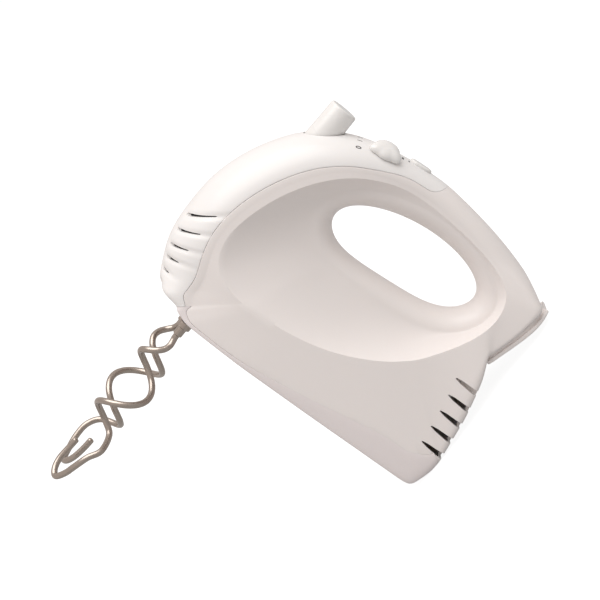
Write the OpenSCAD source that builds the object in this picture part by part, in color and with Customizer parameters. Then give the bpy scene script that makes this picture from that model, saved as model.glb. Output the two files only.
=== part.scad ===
// Hand mixer with two dough hooks, standing on its heel.
// +Z runs from the heel to the nose, +X from the base to the handle, -Y is the mixer's left side.
// Heights (h) are measured along +X from the lowest line of the base.

/* [Body] */
// Length from the standing plane to the front of the nose
body_len = 202.6; // [199:0.2:208]
// Height of the handle's ridge above the base
body_h = 151.2; // [149:0.2:156]
// Width across the lower body
body_w = 75.6; // [74:0.2:82]
// Wall thickness of the housing shells
wall = 2.2; // [1.8:0.1:2.6]
// Length of the finger opening
grip_len = 93.4; // [88:0.2:96]
// Height of the finger opening
grip_gap = 38; // [34:0.5:41]
// Half width of the rounded lip round the finger opening
lip_w = 14.5; // [13.5:0.1:16]
// Depth of the rounded lip round the finger opening
lip_depth = 11; // [9:0.5:12]

/* [Hooks] */
// Distance between the two hook axes is twice this
spindle_y = 16; // [15.6:0.1:16.6]
// Distance of the hook axes from the front of the nose
spindle_in = 41.3; // [39.6:0.1:42.6]
// Wire radius of the dough hooks
wire_r = 1.95; // [1.7:0.05:2.2]
// Radius of the hook's shank
shank_r = 2.6; // [2.4:0.05:2.8]
// Radius of the hook's coil, measured to the wire's centre
coil_r = 10.9; // [9:0.1:11.8]
// Length of one turn of the hook's coil
coil_pitch = 40.7; // [38:0.1:43]
// Reach of the hooks below the base
hook_reach = 126; // [120:0.2:129]
// How far the shank goes into the spindle above the base
shank_in = 38; // [36:0.5:40]

/* [Gears and motor] */
// Height of the motor axis above the base
motor_h = 33; // [32:0.2:34]
// Module of the worm gearing
gear_m = 0.8; // [0.76:0.01:0.84]
// Teeth of each worm wheel
wheel_teeth = 30; // [28:1:31]
// Width of the wheel's toothed rim
wheel_face = 10; // [7:0.5:11]
// Radius of the motor shaft
shaft_r = 3; // [2.5:0.1:3.2]
// Outer radius of the spindle tubes
hub_r = 5.5; // [5:0.1:6]
// Radial running clearance of shafts in their bushes
run_gap = 0.06; // [0.02:0.01:0.1]
// Radius of the rotor
rotor_r = 13.2; // [12.5:0.1:13.8]
// Air gap between the rotor and the field
air_gap = 0.6; // [0.4:0.1:1]
// Length of the laminated stack
stack_len = 24; // [20:1:27]
// Radius of the cooling fan
fan_r = 18.5; // [16:0.5:19.5]

/* [Controls] */
// Radius of the eject button at its base
eject_r = 9.3; // [8.5:0.1:9.8]
// Height of the eject button's top above the base
eject_top = 148; // [145:0.5:152]
// Travel of the eject button
eject_travel = 8; // [6:0.5:8]
// Size of the speed slider's leaf shape
leaf_r = 7.8; // [7:0.1:8.2]
// Height of the speed slider's dome
knob_rise = 4.8; // [3.5:0.1:5.5]
// Swing of the speed slider to each side of the ridge
knob_swing = 18; // [12:0.5:18]
// Length of the turbo button
turbo_len = 14; // [11:0.5:15]
// Width of the turbo button
turbo_w = 9.5; // [8:0.5:10.5]
// Travel of the turbo button
turbo_travel = 1.5; // [1:0.1:1.8]
// Gap between a button and its hole
button_gap = 0.4; // [0.3:0.05:0.6]

/* [Vents] */
// Width of a nose vent
vent_w = 2; // [1.4:0.1:2.6]
// Number of nose vents on each side
vent_count = 5; // [3:1:5]
// Distance between the first two nose vents
vent_pitch = 9; // [8:0.1:9.5]
// Number of rear vents on each side
rear_vents = 5; // [3:1:5]
// Distance between the rear vents
rear_pitch = 10; // [9:0.1:10.4]
// Width of a rear vent at its open end
rear_vent_w = 4; // [2.5:0.1:4.5]

/* [Heel and cord inlet] */
// Thickness of the heel plate
heel_t = 4.6; // [4.2:0.1:5]
// Overhang of the heel plate round the housing
heel_lip = 1.6; // [1:0.1:2]
// Bore radius of the cord inlet
cord_r = 3.3; // [3:0.1:3.6]
// Height of the cord inlet above the base
cord_h = 77; // [74:0.5:79]

/* [Hidden] */
eps = 0.01;
spindle_z = body_len - spindle_in;
$fn = 48;

// Key sections round the opening: heel, handle, nose, base, rear wall and back to the heel.
// [opening angle, crease h, crease z, rim h, rim z, crease half width, shoulder half width,
//  rim half width, shoulder share, corner power, scoop power]
kh = body_h / 151.2;
kz = body_len / 202.6;
kw = body_w / 75.6;
key_scale = [1, kh, kz, kh, kz, kw, kw, kw, 1, 1, 1];
keys = [for (row = [
    [ 148, 127,    31, 131.5,   4.5, 21,   20.5, 16,   0.85, 3, 1.5],
    [ 135, 133,    43, 141,    27,   18,   17.6,  1.5, 0.15, 2, 1.3],
    [ 115, 136.5,  61, 147.5,  55,   16,   15.7,  1.5, 0.15, 2, 1.2],
    [  90, 138,    85, 151.2,  88,   15.6, 15.3,  1.5, 0.15, 2, 1.2],
    [  68, 137.5, 106, 150.6, 108,   16.6, 16.3,  1.5, 0.15, 2, 1.2],
    [  50, 134.5, 121, 147.6, 129,   19,   18.7,  1.5, 0.15, 2, 1.4],
    [  33, 126,   139, 140,   154,   23,   22.7,  1.5, 0.15, 2, 1.5],
    [  20, 112,   154, 124,   176.5, 26,   25.7,  1.5, 0.15, 2, 1.5],
    [   8,  94, 165.5, 101,   192,   28,   27.7,  1.5, 0.15, 2, 1.4],
    [  -5,  74,   173,  75,   201,   29.5, 29.2,  1.5, 0.15, 2, 1.3],
    [ -18,  54,   176,  50,   202.6, 30.5, 30.2,  1.5, 0.15, 2, 1.2],
    [ -30,  38,   170,  28,   199.8, 31.6, 30.6,  1.5, 0.16, 2, 1.1],
    [ -42,  32,   157,   8,   190.5, 33.5, 30,    1.5, 0.37, 2, 1],
    [ -47,  31,   151,   4.5, 184,   34.2, 29.2, 17,   0.57, 3, 1],
    [ -52,  31,   145,   4.5, 172.5, 34.8, 31.2, 27,   0.74, 4, 1],
    [ -53,  31,   144,   2.9, 171.8, 34.9, 29.5, 27,   0.92, 4, 1],
    [ -56,  31.5, 140,   0.4, 163,   35.3, 32.8, 30.5, 0.92, 5, 1.05],
    [ -75,  33.5, 118,   1.4, 125,   36,   36.6, 33.5, 0.93, 5, 1.2],
    [ -95,  40,    91,   3.7,  80,   36.4, 37.6, 35,   0.75, 7, 1.5],
    [-112,  52,    68,   6,    38,   36,   37.8, 35.5, 0.66, 7, 1.7],
    [-125,  60,    57,   7.6,   4.3, 35,   37.6, 34,   0.66, 6, 1.8],
    [-128,  63,    54,  21.5,   0,   34.5, 37,   30,   0.85, 3, 1.8],
    [-131,  66,    50,  29.5,   0,   34,   36.6, 29.5, 0.95, 3, 1.8],
    [-132,  67,    49,  29.8,   0,   34,   36.6, 29.5, 0.88, 3, 1.8],
    [-142,  78,    41,  58,     4.5, 31.5, 34.5, 27,   0.83, 3, 1.8],
    [-155,  92,    32,  80,    10.5, 28.5, 31,   25,   0.75, 3, 1.8],
    [-168, 104,  27.5,  94,    17,   25.5, 27,   22,   0.72, 3, 1.7],
    [-176, 109,  26.5,  95.5,  12.5, 24.5, 25,   21,   0.85, 3, 1.6],
    [-190, 118,    27, 112,     9,   22.5, 23,   19,   0.84, 3, 1.5]])
    [for (i = [0:10]) row[i] * key_scale[i]]];
// Steps between one key section and the next
key_steps = [3, 3, 3, 6, 3, 3, 3, 3, 3, 3, 3, 3, 2, 2, 1, 2, 4, 3, 3, 3, 2, 1, 1, 2, 2, 2, 1, 2, 2];
curved_rows = 12;   // the rim is curved up to this row and straight from there on
tongue_row = 3;     // the top cover's tongue ends in the interval after this row
notch_row = 14;     // the top cover meets the base cover here
foot_row = 22;      // the base cover ends here, in the rear foot
tongue_round = 3;   // columns that the tongue widens by at each station from its tip
nk = len(keys);
lip_cols = 3;       // columns of a section: lip, scoop, side, corner, end
scoop_cols = 3;
corner_cols = 4;
seam_col = lip_cols + scoop_cols + 3;   // the top cover's seam
skirt_col = seam_col - 1;               // the base cover's seam
last_col = skirt_col + corner_cols + 1;

grip_h = 106 * kh;
grip_z = 87 * kz;
function opening_at(a) =
    let (u = grip_len / 2 * cos(a), s = sin(a))
    [grip_h + sign(s) * pow(abs(s), 0.94) * grip_gap / 2 - 0.115 * u - 0.0008 * u * u
        - (s < 0 ? 1.6 * pow(abs(sin(2 * a)), 2) : 0), grip_z + u];

function curve(a, b, c, d, t) =
    ((2 * b) + (c - a) * t + (2 * a - 5 * b + 4 * c - d) * t * t + (3 * b - a - 3 * c + d) * t * t * t) / 2;
function mix(a, b, t) = a + (b - a) * t;
function unit(v) = v / norm(v);
function crease_row(i) = let (r = keys[(i + nk) % nk]) [r[1], r[2], r[5]];
function rim_row(i) = let (r = keys[i % nk]) [r[3], r[4], r[6], r[7], r[8], r[9], r[10]];
function rim_clamp(i) = rim_row(max(0, min(curved_rows, i)));
function crease_at(i, t) = curve(crease_row(i - 1), crease_row(i), crease_row(i + 1), crease_row(i + 2), t);
function rim_at(i, t) = i < curved_rows
    ? curve(rim_clamp(i - 1), rim_clamp(i), rim_clamp(i + 1), rim_clamp(i + 2), t)
    : mix(rim_row(i), rim_row(i + 1), t);
function angle_at(i, t) = mix(keys[i][0], i + 1 < nk ? keys[i + 1][0] : keys[0][0] - 360, t);
stations = [for (i = [0:nk - 1]) for (k = [0:key_steps[i] - 1]) [i, k / key_steps[i]]];
ns = len(stations);
function first_station(row) = row == 0 ? 0 : key_steps[row - 1] + first_station(row - 1);

// Half section on the left side as [h, y, z] points, inset from the outer skin by t
function section(st, t) =
    let (
        crease = crease_at(st[0], st[1]), rim = rim_at(st[0], st[1]),
        inner = opening_at(angle_at(st[0], st[1])),
        c = [crease[0], crease[1]], o = [rim[0], rim[1]],
        a = inner + t * unit(c - inner), b = o - t * unit(o - c),
        lip = a + (lip_depth - t) * unit(c - a), e = mix(c, b, rim[4]),
        wl = lip_w - t, wc = crease[2] - t, we = rim[2] - t, wr = max(rim[3] - t, 1)
    )
    concat(
        [for (k = [0:lip_cols]) let (q = 90 * k / lip_cols) sec_point(mix(a, lip, 1 - cos(q)), wl * sin(q))],
        [for (k = [1:scoop_cols]) let (u = k / scoop_cols)
            sec_point(mix(lip, c, u), mix(wl, wc, pow(u, rim[6])))],
        [sec_point(mix(c, e, 0.5), (wc + we) / 2), sec_point(e, we)],
        [for (k = [1:corner_cols]) let (q = 90 * k / corner_cols)
            sec_point(mix(e, b, pow(sin(q), 2 / rim[5])), mix(wr, we, pow(cos(q), 2 / rim[5])))],
        [sec_point(b, 0)]);
function sec_point(p, w) = [p[0], -w, p[1]];
outer_skin = [for (st = stations) section(st, 0)];
inner_skin = [for (st = stations) section(st, wall)];

// Closed shell over a patch of the skins: station k uses its columns lo[k] to hi[k]
module shell(outer, inner, lo, hi, closed) {
    n = len(outer);
    m = len(outer[0]);
    spans = closed ? n - 1 : n - 2;
    function col(k, j) = (k % n) * m + max(lo[k % n], min(hi[k % n], j));
    function inn(k, j) = n * m + col(k, j);
    function quad(a, b, c, d) = [[a, b, c], [a, c, d]];
    faces = [for (f = concat(
        [for (k = [0:spans]) for (j = [0:m - 2]) for (f = quad(col(k, j), col(k + 1, j), col(k + 1, j + 1), col(k, j + 1))) f],
        [for (k = [0:spans]) for (j = [0:m - 2]) for (f = quad(inn(k, j + 1), inn(k + 1, j + 1), inn(k + 1, j), inn(k, j))) f],
        [for (k = [0:spans]) for (f = quad(col(k, m), col(k + 1, m), inn(k + 1, m), inn(k, m))) f],
        [for (k = [0:spans]) for (f = [[col(k, 0), inn(k + 1, 0), col(k + 1, 0)], [col(k, 0), inn(k, 0), inn(k + 1, 0)]]) f],
        closed ? [] : [for (j = [0:m - 2]) for (f = quad(col(0, j), col(0, j + 1), inn(0, j + 1), inn(0, j))) f],
        closed ? [] : [for (j = [0:m - 2]) for (f = quad(col(n - 1, j + 1), col(n - 1, j), inn(n - 1, j), inn(n - 1, j + 1))) f]))
        if (f[0] != f[1] && f[1] != f[2] && f[0] != f[2]) f];
    polyhedron(points = concat([for (s = outer) each s], [for (s = inner) each s]), faces = faces);
}

tongue_tip = first_station(tongue_row) + 2;
notch = first_station(notch_row);
foot = first_station(foot_row);
function cover_col(k) =
    k <= tongue_tip ? last_col
    : k <= notch ? max(seam_col, last_col - tongue_round * (k - tongue_tip))
    : k <= foot ? skirt_col : last_col;
half_cols = [for (k = [0:ns - 1]) cover_col(k)];

module housing_half() {
    shell(outer_skin, inner_skin, [for (k = [0:ns - 1]) 0], half_cols, true);
}

// Left section joined to its mirror image, for covers that span both sides
function both(s) = concat(s, [for (j = [last_col - 1:-1:0]) [s[j][0], -s[j][1], s[j][2]]]);
module cover(first, last, cols) {
    shell([for (k = [first:last]) both(outer_skin[k])], [for (k = [first:last]) both(inner_skin[k])],
        cols, [for (c = cols) 2 * last_col - c], false);
}

// ---------- Helpers ----------
module placed(c) color(c) translate([frame_x, 0, 0]) children();
// Cylinder along +X from height a to height b
module post(a, b, r, r2 = undef) translate([a, 0, 0]) rotate([0, 90, 0])
    cylinder(h = b - a, r1 = r, r2 = is_undef(r2) ? r : r2);
// Cylinder along +Z and along +Y
module bar(a, b, r) translate([0, 0, a]) cylinder(h = b - a, r = r);
module pin_y(a, b, r) translate([0, a, 0]) rotate([-90, 0, 0]) cylinder(h = b - a, r = r);
// Block centred on y, from height a to b and from z c to d
module block(a, b, y, c, d) translate([a, -y / 2, c]) cube([b - a, y, d - c]);
module both_sides() {
    children();
    mirror([0, 1, 0]) children();
}
module on_motor() translate([motor_h, 0, 0]) children();
module on_spindle(side) translate([0, side * spindle_y, spindle_z]) children();
// Tube along a path of points; its rings are squared to the direction aside
module tube(path, r, sides, aside = [0, 1, 0]) {
    n = len(path);
    function along(i) = unit(path[min(n - 1, i + 1)] - path[max(0, i - 1)]);
    function ring(i) = let (t = along(i), u = unit(cross(t, aside)), v = cross(t, u))
        [for (k = [0:sides - 1]) path[i] + r * (cos(360 * k / sides) * u + sin(360 * k / sides) * v)];
    polyhedron(points = [for (i = [0:n - 1]) each ring(i)], faces = concat(
        [[for (k = [0:sides - 1]) k]], [[for (k = [sides - 1:-1:0]) (n - 1) * sides + k]],
        [for (i = [0:n - 2]) for (k = [0:sides - 1]) let (a = i * sides + k, b = i * sides + (k + 1) % sides)
            each [[a, a + sides, b + sides], [a, b + sides, b]]]));
}
// Compression spring along +Z from a to b
module spring(a, b, r, wire, turns) {
    steps = turns * 10;
    tube([for (i = [0:steps]) [r * cos(36 * i), r * sin(36 * i), a + wire + (b - a - 2 * wire) * i / steps]],
        wire, 6, [0, 0, 1]);
}

// Frame on the ridge: local +Z is the outward normal, local -X points to the nose
function ridge_point(spot) = let (p = rim_at(spot[0], spot[1])) [p[0], p[1]];
function ridge_tilt(spot) =
    let (d = ridge_point(spot + [0, 0.02]) - ridge_point(spot - [0, 0.02])) atan2(-d[0], d[1]);
module on_ridge(spot) {
    p = ridge_point(spot);
    translate([p[0], 0, p[1]]) rotate([0, 90 - ridge_tilt(spot), 0]) children();
}
knob_spot = [5, 0.3];  // row and share of the way to the next row
turbo_spot = [4, 0.25];
eject_z = spindle_z + 6.4;
swing_r = 25;          // the speed slider swings about an axis this far below the ridge
swing_gap = 1.05;      // room between the slider's leaf and the ridge
leaf_lobe = 2.8;       // the leaf's tip and its rear corner stand out by this much
leaf_tip = 24;         // angle of the tip, which points to the scale, from the handle's line
leaf_corner = 149;
leaf_steps = 30;
// The slider's dome as [share of the leaf's outline, share of the dome's height]
dome = [[0.06, 0], [0.5, 0], [1, 0], [1, 0.19], [0.97, 0.33], [0.86, 0.56], [0.66, 0.79], [0.4, 0.94], [0.14, 1]];
function lobe(d) = abs(d) < 50 ? leaf_lobe * pow(cos(1.8 * d), 4) : 0;
function leaf(q) = leaf_r + lobe(q - leaf_tip) + lobe(q - leaf_corner);
// Point of the slider at forward distance a, arc b towards the left side and height c over the ridge
function swung(a, b, c, turn) = let (q = turn + b / swing_r * 180 / PI)
    [-a, -(swing_r + c) * sin(q), (swing_r + c) * cos(q) - swing_r];
function leaf_points(turn) = [for (d = dome) for (k = [0:leaf_steps - 1])
    let (q = 360 * k / leaf_steps, r = d[0] * leaf(q))
    swung(r * cos(q), r * sin(q), swing_gap + d[1] * knob_rise, turn)];
turbo_rise = 1.5;
turbo_edge = 0.6;      // step round the turbo button's top
// The knob's dome or the turbo button is the highest point, the hook tips are the lowest
knob_tilt = ridge_tilt(knob_spot);
knob_top = ridge_point(knob_spot)[0]
    + max([for (p = leaf_points(knob_swing)) p[2] * cos(knob_tilt) + p[0] * sin(knob_tilt)]);
turbo_tilt = ridge_tilt(turbo_spot);
turbo_top = ridge_point(turbo_spot)[0] + turbo_rise * cos(turbo_tilt)
    + (turbo_len / 2 - turbo_edge) * sin(turbo_tilt);
frame_x = (hook_reach - max(body_h, knob_top, turbo_top)) / 2;

// ---------- Housing ----------
vent_slope = 40;       // the nose vents rise towards the handle at this angle
vent_first = 34;       // place of the first vent along its normal, from the front of the nose
vent_shrink = 0.6;     // each gap is smaller than the one before by this much
vent_near = 13;        // the vents run between these distances from the middle
vent_far = 27;
vent_depth = 22.6;     // and end this far behind the front of the nose
function vent_place(i) = vent_first - i * vent_pitch + vent_shrink * i * (i - 1) / 2;
module nose_vents() translate([0, 0, body_len]) both_sides() rotate([0, -vent_slope, 0])
for (i = [0:vent_count - 1]) {
    x = vent_place(i);
    z = -(vent_depth + x * sin(vent_slope)) / cos(vent_slope);
    translate([x - vent_w / 2, -vent_far, z]) cube([vent_w, vent_far - vent_near, 50]);
}
rear_first = 73;       // height of the top rear vent
rear_vent_len = 16.5;
rear_vent_in = 26;     // the rear vents reach this near to the middle
function wall_z(h) = lookup(h, [for (i = [foot_row + 1:foot_row + 3]) [keys[i][3], keys[i][4]]]);
module rear_vent_cuts() for (i = [0:rear_vents - 1]) {
    h = rear_first - i * rear_pitch;
    translate([0, -rear_vent_in, 0]) rotate([90, 0, 0]) linear_extrude(height = body_w)
        polygon([[h, wall_z(h) + rear_vent_len], [h - rear_vent_w / 2, -1], [h + rear_vent_w / 2, -1]]);
}
screw_r = 1.5;
boss_r = 3.6;
screw_spots = [for (s = [[68, 152], [124, 25], [44, 28]]) [s[0] * kh, s[1] * kz]];
screw_seat = 7;        // depth of the screw heads' seats from the middle
// Half width of the outer skin beside a spot, from the nearest point of the skin
function side_at(spot) =
    let (d = [for (s = outer_skin) for (p = s) norm([p[0] - spot[0], p[2] - spot[1]])], m = min(d))
    -[for (s = outer_skin) for (p = s) if (norm([p[0] - spot[0], p[2] - spot[1]]) == m) p[1]][0];
module cord_hole() translate([cord_h, 0, 0]) bar(-1, 30, gland_r + 0.03);
module half_with_bosses() {
    housing_half();
    for (s = screw_spots) translate([s[0], 0, s[1]]) pin_y(wall / 2 - side_at(s), 0, boss_r);
}
module housing_left() placed("white") difference() {
    half_with_bosses();
    for (s = screw_spots) translate([s[0], 0, s[1]]) pin_y(-12, 1, screw_r);
    rear_vent_cuts();
    cord_hole();
}
module housing_right() placed("white") difference() {
    mirror([0, 1, 0]) half_with_bosses();
    for (s = screw_spots) translate([s[0], 0, s[1]]) {
        pin_y(-1, body_w, screw_r + 0.2);
        pin_y(screw_seat, body_w, screw_r * 2);
    }
    mirror([0, 1, 0]) rear_vent_cuts();
    cord_hole();
}
module housing_screws() placed("silver") for (s = screw_spots) translate([s[0], 0, s[1]]) {
    pin_y(-11, screw_seat, screw_r - 0.03);
    pin_y(screw_seat, screw_seat + 2, screw_r * 1.9);
}

// The switch board hangs below the ridge between a front and a rear boss of the top cover
board_depth = 13.5;    // depth of the board's top below the ridge
board_front = 14;      // distance of the front boss from the knob's axis, towards the nose
board_rear = 11;       // distance of the rear boss from the turbo button, towards the heel
board_w = 15;
board_t = 1.6;
board_boss = 2.2;
function under_ridge(spot, x, z) = let (t = ridge_tilt(spot))
    ridge_point(spot) + z * [cos(t), sin(t)] + x * [sin(t), -cos(t)];
board_a = under_ridge(knob_spot, -board_front, -board_depth);
board_b = under_ridge(turbo_spot, board_rear, -board_depth);
board_len = norm(board_b - board_a);
board_tilt = atan2(board_b[0] - board_a[0], board_a[1] - board_b[1]);
// Local +Z is the board's normal, local X runs from the front boss to the rear boss
module on_board() translate([board_a[0], 0, board_a[1]]) rotate([0, 90 - board_tilt, 0]) children();
module top_cover() placed("ivory") difference() {
    union() {
        cover(tongue_tip, notch, [for (k = [tongue_tip:notch]) cover_col(k)]);
        on_board() for (x = [0, board_len]) translate([x, 0, 0]) bar(0, board_depth - wall / 2, board_boss);
    }
    nose_vents();
    translate([0, 0, eject_z]) post(108, 160, eject_r + button_gap);
    on_ridge(knob_spot) translate([-stem_t / 2 - button_gap, -slot_reach, -5])
        cube([stem_t + 2 * button_gap, 2 * slot_reach, 9]);
    on_ridge(turbo_spot) stadium(turbo_len + 2 * button_gap, turbo_w + 2 * button_gap, -5, 6);
    on_board() for (x = [0, board_len]) translate([x, 0, 0]) bar(-1, 6, 1);
}
module stadium(l, w, a, b) {
    for (x = [-1, 1]) translate([x * (l - w) / 2, 0, 0]) bar(a, b, w / 2);
    translate([-(l - w) / 2, -w / 2, a]) cube([l - w, w, b - a]);
}

hook_hole_r = 7;
// y of the gear bracket's standoffs, and their place along the length from the hook axes
standoffs = [for (s = [[-23, -12.3], [23, -12.3], [0, 6.7]]) [s[0], spindle_z + s[1]]];
bracket_low = 12;
module on_standoffs() for (s = standoffs) translate([0, s[0], s[1]]) children();
module base_cover() placed("gainsboro") difference() {
    union() {
        cover(notch, foot, [for (k = [notch:foot]) k == notch ? seam_col : skirt_col]);
        on_standoffs() post(wall, bracket_low, 3.4);
    }
    both_sides() translate([0, spindle_y, spindle_z]) post(-5, 8, hook_hole_r);
    on_standoffs() {
        post(-5, bracket_low + 1, screw_r + 0.1);
        post(-5, 3.2, screw_r * 2);
    }
}
module base_screws() placed("silver") on_standoffs() {
    post(3.2, bracket_low + plate_t, screw_r - 0.03);
    post(1.8, 3.2, screw_r * 1.9);
}

// Heel plate: follows the housing's heel face, with a stepped edge
heel_drop = 6.5;       // the plate reaches this far below the housing's heel face
heel_face_a = [keys[nk - 2][3], keys[nk - 2][4]];
heel_face_b = [keys[0][3], keys[0][4]];
heel_tilt = atan2(heel_face_a[1] - heel_face_b[1], heel_face_b[0] - heel_face_a[0]);
function corner(x, y, r, a) = [for (k = [0:4]) [x + r * cos(a + 22.5 * k), y + r * sin(a + 22.5 * k)]];
module heel_outline(grow) {
    low = -heel_drop;
    high = norm(heel_face_b - heel_face_a) + 0.4;
    w1 = keys[nk - 2][6];
    w2 = keys[0][6];
    half = concat(corner(high + grow - 6, w2 + grow - 6, 6, 0), corner(low - grow + 3, w1 + grow - 3, 3, 90));
    polygon(concat(half, [for (i = [len(half) - 1:-1:0]) [half[i][0], -half[i][1]]]));
}
heel_step = 0.45;      // share of the plate's thickness that is set back
gland_r = 5.5;
module heel_plate() placed("white") difference() {
    intersection() {
        translate([heel_face_a[0], 0, heel_face_a[1]]) rotate([0, heel_tilt, 0]) {
            translate([0, 0, -heel_t * heel_step]) linear_extrude(height = heel_t * heel_step)
                heel_outline(heel_lip * 0.3);
            translate([0, 0, -heel_t]) linear_extrude(height = heel_t * (1 - heel_step) + eps)
                heel_outline(heel_lip);
        }
        translate([0, -body_w, 0]) cube([body_h * 2, body_w * 2, body_len]);
    }
    translate([cord_h, 0, 0]) bar(-1, 40, gland_r + 1);
}
gland_seat = 15.8;     // the gland's flange bears on the wall's inside here
module cord_gland() placed("dimgray") translate([cord_h, 0, 0]) difference() {
    union() {
        bar(5, gland_seat + 6, gland_r);
        bar(gland_seat, gland_seat + 2, gland_r + 2.2);
    }
    bar(4, gland_seat + 7, cord_r);
}

// ---------- Gearbox ----------
wheel_r = gear_m * wheel_teeth / 2;
worm_r = spindle_y - wheel_r;          // pitch radius of the worm
lead = PI * gear_m;
lead_angle = atan(lead / (2 * PI * worm_r));
backlash = 0.2;
wheel_low = motor_h - wheel_face / 2;
plate_t = 3;
bracket_high = 42.5;
plate_y = 52;
wall_at = spindle_z - 20.3;        // rear wall of the gear bracket
front_wall = spindle_z + 16.7;     // and its front wall
neck_at = spindle_z + 8.7;         // the bracket narrows here, behind the nose
bush_r = 7.5;
bush_gap = hub_r + run_gap;
hub_low = 8;
hub_high = 46;
guide_r = 2.5;         // the ejector's guide pin, which runs in a collar of the bracket
guide_h = 3;
module gear_bracket() placed("silver") difference() {
    union() {
        block(bracket_low, bracket_low + plate_t, plate_y, wall_at, neck_at - 2);
        block(bracket_low, bracket_low + plate_t, 30, neck_at - 2 - eps, front_wall + plate_t);
        block(bracket_high, bracket_high + plate_t, 46, wall_at, neck_at);
        block(bracket_high, bracket_high + plate_t, 28, neck_at, front_wall + plate_t);
        translate([0, 0, eject_z]) post(bracket_high, bracket_high + plate_t + guide_h, guide_r + 1.6);
        block(bracket_low, bracket_high + plate_t, 46, wall_at, wall_at + plate_t);
        block(motor_h - 8, motor_h + 6, bolt_y * 2 + 7, wall_at, wall_at + plate_t);
        block(bracket_low, bracket_high + plate_t, 20, front_wall, front_wall + plate_t);
    }
    for (side = [-1, 1]) on_spindle(side) post(0, 60, bush_r);
    on_motor() bar(wall_at - 1, front_wall + 9, 6);
    on_motor() both_sides() translate([0, bolt_y, 0]) bar(wall_at - 1, wall_at + 9, bolt_r + 0.05);
    on_standoffs() post(5, bracket_low + 9, screw_r);
    translate([0, 0, eject_z]) post(bracket_high - 1, bracket_high + plate_t + 9, guide_r + 0.3);
}
module flanged_bush(a, b, flange, out_r, in_r) difference() {
    union() {
        post(a, b, out_r);
        post(flange, flange + 1, out_r + 1);
    }
    post(a - 1, b + 1, in_r);
}
module lower_bushes() placed("goldenrod") for (side = [-1, 1]) on_spindle(side)
    flanged_bush(bracket_low, bracket_low + plate_t + 1, bracket_low + plate_t, bush_r, bush_gap);
module upper_bushes() placed("goldenrod") for (side = [-1, 1]) on_spindle(side)
    flanged_bush(bracket_high - 1, bracket_high + plate_t, bracket_high - 1, bush_r, bush_gap);
washer_at = bracket_low + plate_t + 1;
module thrust_washers() placed("silver") for (side = [-1, 1]) on_spindle(side) difference() {
    post(washer_at, washer_at + 0.8, bush_r);
    post(washer_at - 1, washer_at + 2, bush_gap);
}
key_w = 1.6;
key_span = 8.6;
key_top = shank_in - 2;
bore_r = shank_r + run_gap;
module spindle(side) on_spindle(side) difference() {
    post(hub_low, hub_high, hub_r);
    post(hub_low - 1, hub_high + 1, bore_r);
    block(hub_low - 1, key_top, key_span, -key_w / 2, key_w / 2);
}
module spindle_left() placed("slategray") spindle(-1);
module spindle_right() placed("slategray") spindle(1);

// Outline of a wheel's teeth; the first tooth stands at the given angle
module teeth_outline(phase) {
    root = wheel_r - 1.25 * gear_m;
    tip = wheel_r + gear_m;
    w = lead / 2 - backlash / 2;
    arc = 180 / PI;
    polygon([for (k = [0:wheel_teeth - 1]) for (c = [[root, -0.72], [tip, -0.33], [tip, 0.33], [root, 0.72]])
        let (a = phase + 360 * k / wheel_teeth + arc * c[1] * w / c[0]) c[0] * [cos(a), sin(a)]]);
}
module worm_wheel(side) on_spindle(side) difference() {
    twist = wheel_face * tan(lead_angle) / wheel_r * 180 / PI;
    union() {
        translate([wheel_low, 0, 0]) rotate([90, 0, 90]) rotate([0, 0, -twist / 2])
            linear_extrude(height = wheel_face, twist = -twist, slices = 2)
                teeth_outline(side > 0 ? 180 + 180 / wheel_teeth : 0);
        post(wheel_low - 4, wheel_low + wheel_face + 2, hub_r + 2);
    }
    post(wheel_low - 9, wheel_low + wheel_face + 9, hub_r);
}
module worm_wheel_left() placed("whitesmoke") worm_wheel(-1);
module worm_wheel_right() placed("whitesmoke") worm_wheel(1);

// ---------- Ejector and hooks ----------
pin_r = 2.5;
pin_low = shank_in + 0.3;
pin_high = 58.5;
frame_low = pin_high + 0.3;
module ejector_pin(side) on_spindle(side) {
    post(pin_low, pin_high, pin_r);
    post(pin_high - 2, pin_high, 4.2);
}
module ejector_pin_left() placed("silver") ejector_pin(-1);
module ejector_pin_right() placed("silver") ejector_pin(1);
stem_r = 4;
frame_t = 3;
module ejector_frame() placed("whitesmoke") {
    block(frame_low, frame_low + frame_t, 2 * spindle_y + 8, spindle_z - 4, eject_z + 5);
    block(frame_low + frame_t, frame_low + 9, 3, spindle_z - 5, eject_z + 5);
    block(frame_low + frame_t, frame_low + 7, 2 * spindle_y + 8, eject_z - 1.5, eject_z + 1.5);
    translate([0, 0, eject_z]) {
        post(frame_low, stem_top, stem_r);
        post(bracket_high + plate_t + 1, frame_low, guide_r);
    }
}
stem_top = 118;
ridge_at_eject = 131;
module eject_button() placed("gainsboro") translate([0, 0, eject_z]) difference() {
    union() {
        post(stem_top - 6, stem_top - 1.5, eject_r + 1.2);
        post(stem_top - 6, eject_top - 3, eject_r, eject_r - 0.8);
        translate([eject_top - 3, 0, 0]) rotate([0, 90, 0]) rotate_extrude()
            polygon(concat([[0, 0]], [for (q = [0:15:90]) [eject_r - 2.8 + 2 * cos(q), 3 * sin(q)]], [[0, 3]]));
    }
    post(stem_top - 9, stem_top, stem_r);
}
module eject_spring() placed("silver") translate([0, 0, eject_z]) rotate([0, 90, 0])
    spring(bracket_high + plate_t, frame_low, 5, 0.5, 6);
shank_key_h = [27, 33];
hook_turn = 27.6;      // the angle at which both hooks stand, turned about their own axes
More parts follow.
